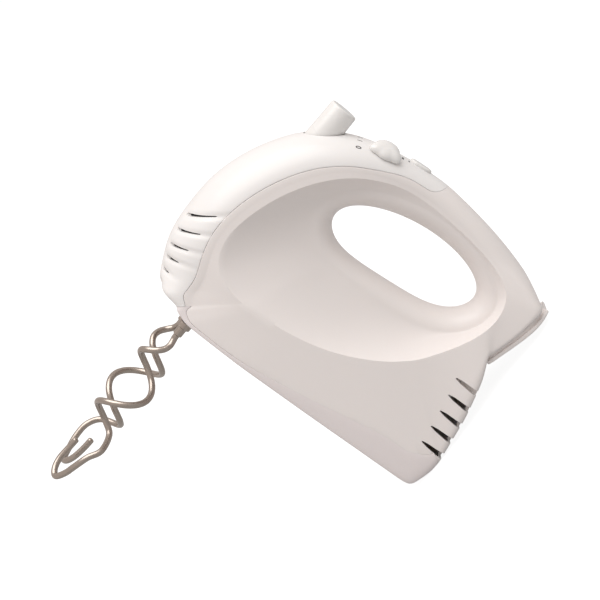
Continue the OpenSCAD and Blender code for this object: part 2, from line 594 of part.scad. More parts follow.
module hook(side) {
    first = 12.2;      // the coil's radius grows from here
    full = 34.7;
    turn_end = 86.6;
    phase_at = 27.7;
    // End loop as [distance below the coil's end, y, z]: down on one side, back up on the other
    loop_points = [[6.3, -7.9, -5.6], [13.4, -9, -0.4], [21.9, -7.4, 1.4], [30, -4.3, 1.8], [35.9, 0.2, 2.6],
        [34, 5.2, 3.2], [28.4, 8.4, 3], [21, 9.2, 2.2], [14.4, 9.2, 1.8]];
    function grow(s) = let (t = max(0, min(1, (s - first) / (full - first)))) t * t * (3 - 2 * t);
    function turn(s) = 360 * (s - phase_at) / coil_pitch;
    function coil(s) = [-s, coil_r * grow(s) * sin(turn(s)), coil_r * grow(s) * cos(turn(s))];
    stretch = (hook_reach - wire_r - turn_end) / 35.9;
    end_loop = concat([coil(turn_end)],
        [for (p = loop_points) [-turn_end - p[0] * stretch, p[1], p[2]]]);
    n = len(end_loop);
    function bend(i, t) = curve(end_loop[max(0, i - 1)], end_loop[i], end_loop[i + 1],
        end_loop[min(n - 1, i + 2)], t);
    path = concat([[1, 0, 0], [-first, 0, 0]], [for (s = [first + 3:3.2:turn_end - 1]) coil(s)],
        [for (i = [0:n - 2]) for (t = [0, 0.5]) bend(i, t)], [end_loop[n - 1]]);
    rotate([hook_turn, 0, 0]) scale([1, -side, 1]) tube(path, wire_r, 8);
}
module hook_shank() {
    post(-5, shank_in, shank_r);
    post(-6, -2, shank_r + 1.6);
    for (a = [0, 180]) rotate([a, 0, 0])
        translate([shank_key_h[0], 0, -0.6]) cube([shank_key_h[1] - shank_key_h[0], key_span / 2 - 0.2, 1.2]);
}
module hook_left() placed("silver") translate([0, -spindle_y, spindle_z]) {
    hook(-1);
    hook_shank();
}
module hook_right() placed("silver") translate([0, spindle_y, spindle_z]) {
    hook(1);
    hook_shank();
}

// ---------- Motor ----------
stack_at = wall_at - 41;
stack_end = stack_at + stack_len;
bolt_y = 24;
bolt_r = 1.6;
core_r = 27;
module front_bearing() placed("goldenrod") on_motor() ring(front_wall, front_wall + plate_t, 6, shaft_r + run_gap);
module middle_bearing() placed("goldenrod") on_motor() ring(wall_at, wall_at + plate_t, 6, shaft_r + run_gap);
module rear_bearing() placed("goldenrod") on_motor() ring(rear_at - 2, rear_at + plate_t, 6, shaft_r + run_gap);
module ring(a, b, r_out, r_in) difference() {
    bar(a, b, r_out);
    bar(a - 1, b + 1, r_in);
}
rear_at = stack_at - 30;
module rear_bracket() placed("silver") difference() {
    union() {
        block(motor_h - 8, motor_h + 8, bolt_y * 2 + 8, rear_at, rear_at + plate_t);
        block(motor_h - holder_far, motor_h + holder_far, 10, rear_at, rear_at + plate_t);
        on_motor() both_sides() translate([0, bolt_y, 0]) bar(rear_at, stack_at, bolt_r * 2);
    }
    on_motor() bar(rear_at - 1, rear_at + 9, 6);
    on_motor() both_sides() translate([0, bolt_y, 0]) bar(rear_at - 1, stack_at + 1, bolt_r + 0.05);
}
module motor_bolts() placed("silver") on_motor() both_sides() translate([0, bolt_y, 0]) {
    bar(rear_at, wall_at + plate_t + 2, bolt_r);
    bar(rear_at - 2, rear_at, bolt_r * 1.8);
    bar(wall_at + plate_t, wall_at + plate_t + 2, bolt_r * 1.8);
}
core_y = 52;
core_x = 42;
slot_in = 14.5;
slot_out = 19.5;
slot_low = 2;
slot_high = 12;
module stator_core() placed("dimgray") on_motor() translate([0, 0, stack_at])
    linear_extrude(height = stack_len) difference() {
        intersection() {
            square([core_x, core_y], center = true);
            circle(r = core_r);
        }
        circle(r = rotor_r + air_gap);
        for (x = [-1, 1]) for (y = [-1, 1])
            translate([x * (slot_low + slot_high) / 2, y * (slot_in + slot_out) / 2])
                square([slot_high - slot_low, slot_out - slot_in], center = true);
        for (y = [-1, 1]) translate([0, y * bolt_y]) circle(r = bolt_r + 0.05);
    }
coil_gap = 0.2;
coil_end = 5;
module field_coils() placed("peru") on_motor() for (x = [-1, 1]) scale([x, 1, 1]) difference() {
    translate([slot_low + coil_gap, -slot_out + coil_gap, stack_at - coil_end])
        cube([19 - slot_low, 2 * (slot_out - coil_gap), stack_len + 2 * coil_end]);
    translate([0, -slot_in - coil_gap, stack_at - coil_end - 1])
        cube([slot_high + 1, 2 * (slot_in + coil_gap), stack_len + 2 * coil_end + 2]);
    translate([slot_high - coil_gap, -40, stack_at - coil_gap]) cube([20, 80, stack_len + 2 * coil_gap]);
}
worm_turns = 7;
worm_core = worm_r - 1.2 * gear_m;
module worm_thread() {
    r_in = worm_core - 0.4;
    r_tip = worm_r + gear_m;
    w = lead / 2 - backlash / 2;
    sides = 16;
    n = worm_turns * sides;
    function point(i, r, dz) = let (a = 90 + 360 * (i / sides - worm_turns / 2))
        [r * cos(a), r * sin(a), spindle_z + lead * (a - 90) / 360 + dz];
    polyhedron(points = [for (i = [0:n]) each [point(i, r_in, -w * 0.72), point(i, r_tip, -w * 0.32),
            point(i, r_tip, w * 0.32), point(i, r_in, w * 0.72)]],
        faces = concat([[3, 2, 1, 0]], [[4 * n, 4 * n + 1, 4 * n + 2, 4 * n + 3]],
            [for (i = [0:n - 1]) for (j = [0:3]) let (a = 4 * i + j, b = 4 * i + (j + 1) % 4)
                each [[a, b, b + 4], [a, b + 4, a + 4]]]));
}
shaft_end = front_wall + plate_t + 3;
module motor_shaft() placed("silver") on_motor() {
    bar(rear_at - 8, spindle_z - 10, shaft_r);
    bar(spindle_z - 10, spindle_z + 10, worm_core);
    bar(spindle_z + 10, shaft_end, shaft_r);
    worm_thread();
}
rotor_slots = 12;
module rotor_core() placed("gray") on_motor() difference() {
    bar(stack_at, stack_end, rotor_r);
    bar(stack_at - 1, stack_end + 1, shaft_r);
    for (k = [0:rotor_slots - 1]) rotate([0, 0, 360 * k / rotor_slots])
        translate([7.5, -1, stack_at - 1]) cube([9, 2, stack_len + 2]);
}
module rotor_winding() placed("peru") on_motor() {
    ring(stack_at - 6, stack_at, 12, shaft_r + 2);
    ring(stack_end, stack_end + 6, 12, shaft_r + 2);
    for (k = [0:rotor_slots - 1]) rotate([0, 0, 360 * k / rotor_slots])
        translate([7.6, -0.9, stack_at - eps]) cube([4.2, 1.8, stack_len + 2 * eps]);
}
commutator_r = 8;
commutator_at = rear_at + 10;
commutator_len = 12;
module commutator() placed("darkgoldenrod") on_motor() difference() {
    ring(commutator_at, commutator_at + commutator_len, commutator_r, shaft_r);
    for (k = [0:11]) rotate([0, 0, 30 * k])
        translate([commutator_r - 0.6, -0.25, commutator_at - 1]) cube([2, 0.5, commutator_len + 2]);
}
fan_at = wall_at - 10;
module fan() placed("dimgray") on_motor() difference() {
    union() {
        bar(fan_at, fan_at + 1.2, fan_r);
        bar(fan_at, fan_at + 8, 6);
        for (k = [0:13]) rotate([0, 0, 360 * k / 14])
            translate([5, -0.5, fan_at]) cube([fan_r - 5.2, 1, 7]);
    }
    bar(fan_at - 1, fan_at + 9, shaft_r);
}
brush_z = rear_at + 16;
brush_w = 5;
brush_out = 20.6;
holder_far = 17;       // reach of the rear bracket's arms, which carry the brush holders
module brush_holders() placed("goldenrod") on_motor() for (x = [-1, 1]) scale([x, 1, 1]) {
    difference() {
        translate([commutator_r + 1, -brush_w / 2 - 0.9, brush_z - brush_w / 2 - 0.9])
            cube([brush_out - commutator_r, brush_w + 1.8, brush_w + 1.8]);
        translate([commutator_r, -brush_w / 2, brush_z - brush_w / 2])
            cube([brush_out - commutator_r, brush_w, brush_w]);
    }
    translate([holder_far - 5, -4, rear_at + plate_t])
        cube([4, 8, brush_z - brush_w / 2 - 0.9 - rear_at - plate_t]);
}
module carbon_brushes() placed("#333333") on_motor() for (x = [-1, 1]) scale([x, 1, 1]) difference() {
    translate([commutator_r - 1, -brush_w / 2 + 0.05, brush_z - brush_w / 2 + 0.05])
        cube([9, brush_w - 0.1, brush_w - 0.1]);
    bar(brush_z - 9, brush_z + 9, commutator_r + 0.05);
}
module brush_springs() placed("silver") on_motor() for (x = [-1, 1]) scale([x, 1, 1])
    translate([0, 0, brush_z]) rotate([0, 90, 0]) spring(commutator_r + 8, brush_out, 1.8, 0.25, 4);

// ---------- Controls ----------
flange_at = -6.5;      // the knob's and the button's retaining flanges, below the cover
flange_t = 1.2;
stem_t = 3;            // the slider's stem, along and across the handle
stem_w = 3.4;
slot_reach = swing_r * sin(knob_swing) + stem_w / 2 + button_gap;
shutter_at = 4.2;      // depth of the shutter below the ridge
shutter_l = 12;
shutter_w = 19;
finger_t = 2.4;
finger_w = 3;
finger_low = 10.8;     // depth of the finger's end
module on_swing() on_ridge(knob_spot)
    translate([0, 0, -swing_r]) rotate([knob_swing, 0, 0]) translate([0, 0, swing_r]) children();
module speed_knob() placed("gainsboro") {
    points = leaf_points(0);
    n = leaf_steps;
    last = len(dome) - 1;
    faces = concat(
        [for (k = [1:n - 2]) [0, k, k + 1]], [for (k = [1:n - 2]) [last * n, last * n + k + 1, last * n + k]],
        [for (i = [0:last - 1]) for (k = [0:n - 1]) let (a = i * n + k, b = i * n + (k + 1) % n)
            each [[a, b + n, b], [a, a + n, b + n]]]);
    on_swing() {
        polyhedron(points = points, faces = faces);
        translate([-stem_t / 2, -stem_w / 2, -shutter_at]) cube([stem_t, stem_w, shutter_at + swing_gap + 1.5]);
    }
}
// Curved shutter under the cover, with the finger that moves the switch
module speed_cam() placed("whitesmoke") on_swing() {
    intersection() {
        translate([-shutter_l / 2, 0, -swing_r]) rotate([0, 90, 0]) difference() {
            cylinder(h = shutter_l, r = swing_r - shutter_at);
            translate([0, 0, -1]) cylinder(h = shutter_l + 2, r = swing_r - shutter_at - flange_t);
        }
        translate([-shutter_l, -shutter_w / 2, -swing_r]) cube([shutter_l * 2, shutter_w, swing_r]);
    }
    translate([-finger_t / 2, -finger_w / 2, -finger_low])
        cube([finger_t, finger_w, finger_low - shutter_at - flange_t + 0.2]);
}
module turbo_button() placed("whitesmoke") on_ridge(turbo_spot) {
    stadium(turbo_len, turbo_w, flange_at + flange_t, turbo_rise - turbo_edge);
    stadium(turbo_len - 2 * turbo_edge, turbo_w - 2 * turbo_edge, turbo_rise - turbo_edge - eps, turbo_rise);
    stadium(turbo_len + 2, turbo_w + 2, flange_at, flange_at + flange_t);
    bar(flange_at - 2, flange_at, 1.5);
}
module turbo_spring() placed("silver") on_ridge(turbo_spot)
    spring(switch_h - board_below(turbo_spot) + spring_gap, flange_at, 2.6, 0.3, 3);
// Depth of the board's top below the ridge, along the ridge's normal at a spot
function board_below(spot) =
    (ridge_point(spot) - board_a) * [cos(board_tilt), sin(board_tilt)] / cos(ridge_tilt(spot) - board_tilt);
switch_h = 1.2;        // height of the turbo switch
spring_gap = 0.25;     // lets the spring stand on the switch in spite of the board's slope
switch_top = 10.2;     // depth of the speed switch's top below the ridge
groove_low = 12.6;     // and of the groove's bottom in which the finger moves
speed_switch_l = 14;
module switch_board() placed("tan") on_board() difference() {
    translate([-3, -board_w / 2, -board_t]) cube([board_len + 6, board_w, board_t]);
    for (x = [0, board_len]) translate([x, 0, 0]) bar(-board_t - 1, 1, 1.2);
}
module board_screws() placed("silver") on_board() for (x = [0, board_len]) translate([x, 0, 0]) {
    bar(-board_t, 4.5, 0.95);
    bar(-board_t - 1.4, -board_t, 2);
}
module speed_switch() placed("dimgray") difference() {
    on_board() translate([board_front - speed_switch_l / 2, -board_w / 2 + 1, 0])
        cube([speed_switch_l, board_w - 2, board_below(knob_spot) - switch_top]);
    on_ridge(knob_spot) translate([-finger_t / 2 - 0.3, -board_w, -groove_low])
        cube([finger_t + 0.6, 2 * board_w, groove_low]);
}
module turbo_switch() placed("black") on_board() translate([board_len - board_rear - 4.5, -3.5, 0])
    cube([9, 7, switch_h]);

housing_left();
housing_right();
top_cover();
base_cover();
heel_plate();
housing_screws();
base_screws();
cord_gland();
gear_bracket();
lower_bushes();
upper_bushes();
thrust_washers();
front_bearing();
middle_bearing();
rear_bearing();
rear_bracket();
motor_bolts();
stator_core();
field_coils();
brush_holders();
carbon_brushes();
brush_springs();
switch_board();
board_screws();
speed_switch();
turbo_switch();
motor_shaft();
rotor_core();
rotor_winding();
commutator();
fan();
spindle_left();
spindle_right();
worm_wheel_left();
worm_wheel_right();
ejector_pin_left();
ejector_pin_right();
hook_left();
hook_right();
eject_button();
ejector_frame();
eject_spring();
speed_knob();
speed_cam();
turbo_button();
turbo_spring();
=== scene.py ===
"""A white hand mixer that stands on its heel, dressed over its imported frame."""

import logging
import math
from collections.abc import Callable
from dataclasses import dataclass
from enum import Enum

import bpy
import numpy as np
from mathutils import Matrix, Vector


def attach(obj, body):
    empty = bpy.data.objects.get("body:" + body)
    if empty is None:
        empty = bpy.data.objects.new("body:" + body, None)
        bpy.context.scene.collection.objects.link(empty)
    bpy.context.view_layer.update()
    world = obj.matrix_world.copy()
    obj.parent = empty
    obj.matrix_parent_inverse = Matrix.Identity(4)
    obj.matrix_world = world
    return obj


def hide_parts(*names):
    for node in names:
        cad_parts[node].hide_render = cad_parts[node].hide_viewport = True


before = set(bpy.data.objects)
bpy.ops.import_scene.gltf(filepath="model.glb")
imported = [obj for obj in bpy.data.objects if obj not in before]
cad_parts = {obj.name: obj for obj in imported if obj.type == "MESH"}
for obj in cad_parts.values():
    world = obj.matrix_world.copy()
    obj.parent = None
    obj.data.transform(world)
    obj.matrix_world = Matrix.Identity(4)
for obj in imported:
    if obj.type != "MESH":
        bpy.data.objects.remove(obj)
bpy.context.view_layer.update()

MM = 0.001
# x of the base's lowest line, from which heights h are counted, and the place of the spindles
FRAME_X = -13.1323
SPINDLE_Y = 16
SPINDLE_Z = 161.3
SIDES = (-1, 1)
MIRROR = np.array((1, -1, 1))
LOG = logging.getLogger("mixer")
FINE = 2
SHARP_ONLY = {"limit_method": "ANGLE", "angle_limit": math.radians(50)}


# ---------------------------------------------------------------- helpers


def deselect() -> None:
    """Leaves nothing selected, so that the next operator acts on new geometry alone."""
    for obj in bpy.context.selected_objects:
        obj.select_set(False)


def activate(obj: bpy.types.Object) -> None:
    """Selects one object and makes it active.

    Args:
        obj: The object that the next operators act on.
    """
    deselect()
    obj.select_set(True)
    bpy.context.view_layer.objects.active = obj


def mesh_object(name: str, points: np.ndarray, faces: list[tuple[int, ...]]) -> bpy.types.Object:
    """Makes an object from points in millimetres.

    Args:
        name: The object's name.
        points: The points, in millimetres, in the shared frame.
        faces: Tuples of point numbers.

    Returns:
        The new object, linked to the scene.
    """
    mesh = bpy.data.meshes.new(name)
    mesh.from_pydata((np.asarray(points) * MM).tolist(), [], faces)
    mesh.update()
    obj = bpy.data.objects.new(name, mesh)
    bpy.context.scene.collection.objects.link(obj)
    return obj


def apply_modifier(obj: bpy.types.Object, kind: str, **settings: object) -> None:
    """Adds a modifier, sets it and applies it.

    Args:
        obj: The object to change.
        kind: Blender's name of the modifier's type.
        **settings: The modifier's properties.
    """
    activate(obj)
    mod = obj.modifiers.new(kind.lower(), kind)
    for key, value in settings.items():
        setattr(mod, key, value)
    bpy.ops.object.modifier_apply(modifier=mod.name)


def merge(obj: bpy.types.Object, distance: float = 0.00002) -> None:
    """Merges double points and turns every face outwards.

    Args:
        obj: The object to clean.
        distance: Points nearer than this are merged, in metres.
    """
    activate(obj)
    bpy.ops.object.mode_set(mode="EDIT")
    bpy.ops.mesh.select_all(action="SELECT")
    bpy.ops.mesh.remove_doubles(threshold=distance)
    bpy.ops.mesh.normals_make_consistent(inside=False)
    bpy.ops.object.mode_set(mode="OBJECT")


def smooth(obj: bpy.types.Object, angle: float = 35) -> None:
    """Shades an object smooth, with edges sharper than an angle kept.

    Args:
        obj: The object to shade.
        angle: The angle in degrees.
    """
    activate(obj)
    bpy.ops.object.shade_smooth_by_angle(angle=math.radians(angle))


def subtract(obj: bpy.types.Object, cutters: list[bpy.types.Object]) -> None:
    """Cuts objects out of another with exact booleans, and deletes them.

    Args:
        obj: The object to cut.
        cutters: Closed objects to subtract.
    """
    for cutter in cutters:
        apply_modifier(obj, "BOOLEAN", operation="DIFFERENCE", object=cutter, solver="EXACT")
        bpy.data.objects.remove(cutter, do_unlink=True)


def primitive(
        name: str, add: Callable[..., set[str]], bevel: dict[str, object],
        **sizes: object) -> bpy.types.Object:
    """Adds one of Blender's primitives and rounds its edges.

    Args:
        name: The object's name.
        add: The operator that adds the primitive.
        bevel: Settings of the Bevel modifier, with SHARP_ONLY where only sharp edges are rounded.
        **sizes: The operator's sizes.

    Returns:
        The new object.
    """
    deselect()
    add(**sizes)
    obj = bpy.context.object
    obj.name = name
    apply_modifier(obj, "BEVEL", **bevel)
    return obj


def lofted(
        name: str, rings: np.ndarray, closed: bool = False, upward: bool = False,
        distance: float = 0.00002) -> bpy.types.Object:
    """Makes a closed solid from rings of points, one after the other.

    Args:
        name: The object's name.
        rings: Rings by points by 3, in millimetres.
        closed: True where the last ring joins the first; otherwise both ends get a face.
        upward: True where the rings are outlines stacked one above the other.
        distance: Points nearer than this are merged, in metres.

    Returns:
        The solid.
    """
    rows, cols = rings.shape[:2]
    count = rows * cols
    ends = [] if closed else [tuple(range(cols)), tuple(range(count - 1, count - cols - 1, -1))]
    sides = []
    for i in range(rows if closed else rows - 1):
        here, ahead = i * cols, (i + 1) % rows * cols
        for j in range(cols):
            after = (j + 1) % cols
            two = (here + after, ahead + j) if upward else (ahead + j, here + after)
            sides.append((here + j, two[0], ahead + after, two[1]))
    faces = [end[::-1] for end in ends] + sides if upward else sides + ends
    obj = mesh_object(name, rings.reshape(-1, 3), faces)
    merge(obj, distance)
    return obj


def circle(radius: float, count: int) -> list[tuple[float, float]]:
    """Gives points round a circle.

    Args:
        radius: Its radius.
        count: How many points.

    Returns:
        The points in order, counter-clockwise.
    """
    turns = np.linspace(0, 2 * math.pi, count, endpoint=False)
    return [(radius * math.cos(a), radius * math.sin(a)) for a in turns]


def spline(points: list[np.ndarray], share: np.ndarray | float) -> np.ndarray:
    """Gives the Catmull-Rom curve between the second and the third of four points.

    Args:
        points: The four points, or arrays of them.
        share: How far along, from 0 to 1.

    Returns:
        The points on the curve.
    """
    a, b, c, d = points
    return ((2 * b) + (c - a) * share + (2 * a - 5 * b + 4 * c - d) * share**2
            + (3 * b - a - 3 * c + d) * share**3) / 2


def settle(obj: bpy.types.Object, place: Matrix) -> None:
    """Moves an object's mesh by a matrix, and leaves the object at the origin.

    Args:
        obj: The object, whose own transform is taken into its mesh first.
        place: The matrix in the shared frame, in metres.
    """
    obj.data.transform(place @ obj.matrix_basis)
    obj.matrix_basis = Matrix.Identity(4)
    obj.data.update()


# ---------------------------------------------------------------- finishes


class Nodes:
    """A small writer for node trees."""

    def __init__(self, tree: bpy.types.NodeTree) -> None:
        """Keeps the tree that the nodes go into."""
        self.tree = tree

    def add(self, kind: str, **settings: object) -> bpy.types.Node:
        """Adds a node.

        Args:
            kind: The node's type.
            **settings: Properties of the node, or values of its inputs by name.

        Returns:
            The new node.
        """
        node = self.tree.nodes.new(kind)
        for key, value in settings.items():
            if hasattr(node, key):
                setattr(node, key, value)
            else:
                node.inputs[key.replace("_", " ")].default_value = value
        return node

    def link(self, source: bpy.types.NodeSocket, target: bpy.types.NodeSocket) -> None:
        """Joins two sockets."""
        self.tree.links.new(source, target)


def new_group(name: str, inputs: dict[str, float], outputs: dict[str, str]) -> bpy.types.NodeTree:
    """Makes an empty shader group.

    Args:
        name: The group's name.
        inputs: Float inputs by name, with their defaults.
        outputs: Output names with their socket types.

    Returns:
        The group, with its input and output nodes named "in" and "out".
    """
    group = bpy.data.node_groups.new(name, "ShaderNodeTree")
    for key, value in inputs.items():
        socket = group.interface.new_socket(key, in_out="INPUT", socket_type="NodeSocketFloat")
        socket.default_value = value
    for key, kind in outputs.items():
        group.interface.new_socket(key, in_out="OUTPUT", socket_type=kind)
    group.nodes.new("NodeGroupInput").name = "in"
    group.nodes.new("NodeGroupOutput").name = "out"
    return group


def moulding_group() -> bpy.types.NodeTree:
    """Makes the group for moulded plastic: fine skin, slow waviness and handling marks.

    Returns:
        A group with Height, Rough and Tint outputs.
    """
    group = new_group(
        Skin.MOULDED.value,
        {"Grain Size": 1400.0, "Wave Size": 35.0, "Marks": 0.05},
        {"Height": "NodeSocketFloat", "Rough": "NodeSocketFloat", "Tint": "NodeSocketFloat"},
    )
    nodes = Nodes(group)
    source, sink = group.nodes["in"], group.nodes["out"]
    place = nodes.add("ShaderNodeTexCoord")
    grain = nodes.add("ShaderNodeTexNoise", Detail=2.0)
    wave = nodes.add("ShaderNodeTexNoise", Detail=2.0, Roughness=0.4)
    for node, size in ((grain, "Grain Size"), (wave, "Wave Size")):
        nodes.link(place.outputs["Object"], node.inputs["Vector"])
        nodes.link(source.outputs[size], node.inputs["Scale"])
    soft = nodes.add("ShaderNodeMath", operation="MULTIPLY")
    soft.inputs[1].default_value = 0.2
    nodes.link(grain.outputs["Fac"], soft.inputs[0])
    both = nodes.add("ShaderNodeMath", operation="ADD")
    nodes.link(soft.outputs[0], both.inputs[0])
    nodes.link(wave.outputs["Fac"], both.inputs[1])
    nodes.link(both.outputs[0], sink.inputs["Height"])
    spread = nodes.add("ShaderNodeMapRange", From_Min=0.3, From_Max=0.75)
    nodes.link(wave.outputs["Fac"], spread.inputs["Value"])
    nodes.link(source.outputs["Marks"], spread.inputs["To Max"])
    nodes.link(spread.outputs["Result"], sink.inputs["Rough"])
    nodes.link(grain.outputs["Fac"], sink.inputs["Tint"])
    return group


def drawn_group() -> bpy.types.NodeTree:
    """Makes the group for metal: fine drawn or turned lines along one axis.

    Returns:
        A group with Height and Rough outputs.
    """
    group = new_group(
        Skin.DRAWN.value,
        {"Length": 30.0, "Across": 2500.0, "Depth": 0.1},
        {"Height": "NodeSocketFloat", "Rough": "NodeSocketFloat"},
    )
    nodes = Nodes(group)
    source, sink = group.nodes["in"], group.nodes["out"]
    place = nodes.add("ShaderNodeTexCoord")
    scale = nodes.add("ShaderNodeCombineXYZ")
    nodes.link(source.outputs["Across"], scale.inputs["X"])
    nodes.link(source.outputs["Across"], scale.inputs["Y"])
    nodes.link(source.outputs["Length"], scale.inputs["Z"])
    stretch = nodes.add("ShaderNodeVectorMath", operation="MULTIPLY")
    nodes.link(place.outputs["Object"], stretch.inputs[0])
    nodes.link(scale.outputs["Vector"], stretch.inputs[1])
    lines = nodes.add("ShaderNodeTexNoise", Scale=1.0, Detail=3.0)
    nodes.link(stretch.outputs["Vector"], lines.inputs["Vector"])
    nodes.link(lines.outputs["Fac"], sink.inputs["Height"])
    spread = nodes.add("ShaderNodeMath", operation="MULTIPLY")
    nodes.link(lines.outputs["Fac"], spread.inputs[0])
    nodes.link(source.outputs["Depth"], spread.inputs[1])
    nodes.link(spread.outputs[0], sink.inputs["Rough"])
    return group


class Skin(Enum):
    """The groups that give a finish its fine structure."""

    MOULDED = "moulded_skin"
    DRAWN = "drawn_lines"


@dataclass(frozen=True)
class Surface:
    """What all finishes share: two close colours and a roughness."""

    name: str
    colour: tuple[float, float, float]
    shade: tuple[float, float, float]
    roughness: float

    def textured(
            self, skin: Skin, tint: str, bump: float, height: float,
            **inputs: float) -> bpy.types.Material:
        """Builds a material whose colour, roughness and relief follow a group.

        Args:
            skin: The group.
            tint: Its output that mixes the two colours.
            bump: Strength of the relief.
            height: Height of the relief in metres.
            **inputs: Values of the group's inputs.

        Returns:
            The new material.
        """
        material = bpy.data.materials.new(self.name)
        material.use_nodes = True
        nodes = Nodes(material.node_tree)
        shader = material.node_tree.nodes["Principled BSDF"]
        group = nodes.add("ShaderNodeGroup")
        group.node_tree = Library.group(skin)
        for key, value in inputs.items():
            group.inputs[key].default_value = value
        mix = nodes.add("ShaderNodeMix", data_type="RGBA")
        mix.inputs["A"].default_value = (*self.colour, 1)
        mix.inputs["B"].default_value = (*self.shade, 1)
        nodes.link(group.outputs[tint], mix.inputs["Factor"])
        nodes.link(mix.outputs["Result"], shader.inputs["Base Color"])
        rough = nodes.add("ShaderNodeMath", operation="ADD")
        rough.inputs[1].default_value = self.roughness
        nodes.link(group.outputs["Rough"], rough.inputs[0])
        nodes.link(rough.outputs[0], shader.inputs["Roughness"])
        relief = nodes.add("ShaderNodeBump", Strength=bump, Distance=height)
        nodes.link(group.outputs["Height"], relief.inputs["Height"])
        nodes.link(relief.outputs["Normal"], shader.inputs["Normal"])
        return material


@dataclass(frozen=True)
class Moulded(Surface):
    """A moulded plastic or rubber finish."""

    coat: float = 0.0
    scatter: float = 0.0
    bump: float = 0.02
    marks: float = 0.06

    def build(self) -> bpy.types.Material:
        """Builds the material.

        Returns:
            The new material.
        """
        material = self.textured(Skin.MOULDED, "Tint", self.bump, 0.001, Marks=self.marks)
        shader = material.node_tree.nodes["Principled BSDF"]
        for key, value in (
            ("Coat Weight", self.coat), ("Coat Roughness", 0.12), ("IOR", 1.5),
            ("Subsurface Weight", self.scatter), ("Subsurface Radius", (1.0, 0.9, 0.8)),
            ("Subsurface Scale", 0.0015),
        ):
            shader.inputs[key].default_value = value
        return material


@dataclass(frozen=True)
class Metal(Surface):
    """A metal finish with drawn or turned lines."""

    depth: float = 0.1
    bump: float = 0.05

    def build(self) -> bpy.types.Material:
        """Builds the material.

        Returns:
            The new material.
        """
        material = self.textured(Skin.DRAWN, "Height", self.bump, 0.0005, Depth=self.depth)
        material.node_tree.nodes["Principled BSDF"].inputs["Metallic"].default_value = 1.0
        return material


class Finish(Enum):
    """The finishes of this mixer."""

    WHITE = Moulded("white_moulding", (0.865, 0.82, 0.795), (0.845, 0.80, 0.775), 0.34, scatter=0.1)
    COVER = Moulded("cover_moulding", (0.87, 0.855, 0.84), (0.85, 0.835, 0.82), 0.30,
                    coat=0.1, scatter=0.1)
    GREY = Moulded("base_moulding", (0.82, 0.765, 0.755), (0.80, 0.745, 0.735), 0.38, scatter=0.1)
    BUTTON = Moulded("button_moulding", (0.84, 0.83, 0.81), (0.82, 0.81, 0.79), 0.24,
                     coat=0.3, scatter=0.1)
    NYLON = Moulded("natural_nylon", (0.72, 0.70, 0.62), (0.68, 0.66, 0.58), 0.45, scatter=0.2)
    # DARK is the black of real parts, and also the painted shade of the sheet behind the nose vents
    DARK = Moulded("black_moulding", (0.025, 0.025, 0.027), (0.035, 0.035, 0.037), 0.5)
    BOARD = Moulded("board_laminate", (0.33, 0.19, 0.08), (0.27, 0.15, 0.06), 0.55)
    RUBBER = Moulded("black_rubber", (0.03, 0.03, 0.03), (0.045, 0.045, 0.045), 0.7, bump=0.05)
    PRINT = Moulded("grey_print", (0.10, 0.095, 0.09), (0.14, 0.135, 0.13), 0.5)
    CHROME = Metal("plated_wire", (0.56, 0.49, 0.43), (0.36, 0.31, 0.27), 0.2, depth=0.12)
    STEEL = Metal("plain_steel", (0.50, 0.50, 0.50), (0.38, 0.38, 0.38), 0.3)
    CORE = Metal("varnished_core", (0.10, 0.10, 0.11), (0.06, 0.06, 0.065), 0.5)
    COPPER = Metal("enamelled_copper", (0.55, 0.22, 0.08), (0.35, 0.12, 0.04), 0.28, bump=0.3)
    BRONZE = Metal("sintered_bronze", (0.50, 0.36, 0.16), (0.36, 0.25, 0.10), 0.4)


class Library:
    """Builds each material and each node group once."""

    _materials: dict[Finish, bpy.types.Material] = {}
    _groups: dict[Skin, bpy.types.NodeTree] = {}

    @classmethod
    def group(cls, skin: Skin) -> bpy.types.NodeTree:
        """Gives a node group, made when first asked for.

        Args:
            skin: Which group.

        Returns:
            The group.
        """
        if skin not in cls._groups:
            cls._groups[skin] = {Skin.MOULDED: moulding_group, Skin.DRAWN: drawn_group}[skin]()
        return cls._groups[skin]

    @classmethod
    def material(cls, finish: Finish) -> bpy.types.Material:
        """Gives the material of a finish, made when first asked for.

        Args:
            finish: One of the mixer's finishes.

        Returns:
            The material.
        """
        if finish not in cls._materials:
            cls._materials[finish] = finish.value.build()
        return cls._materials[finish]


def dress(obj: bpy.types.Object, finish: Finish, body: str, *nodes: str) -> None:
    """Gives a new piece its material, its body and the nodes that it stands for.

    Args:
        obj: The piece.
        finish: Its finish.
        body: The CAD body that it rides on.
        *nodes: CAD nodes that it replaces.
    """
    obj.data.materials.clear()
    obj.data.materials.append(Library.material(finish))
    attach(obj, body)
    if nodes:
        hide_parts(*nodes)
    LOG.info("%s: %d faces on %s", obj.name, len(obj.data.polygons), body)


# ---------------------------------------------------------------- body form


# Where a row of keys holds what belongs to the crease and to the rim, and two columns of a section
CREASE_KEYS = (1, 2, 5)
RIM_KEYS = (3, 4, 6, 7, 8, 9, 10)
SHOULDER = 8
MIDDLE = 13


class Zone(Enum):
    """The bands of a section, by the columns between which each lies."""

    LIP = (-1, 3)
    SCOOP = (3, 6)
    SIDE = (6, 8)
    CORNER = (8, 12)
    RIM = (12, 14)


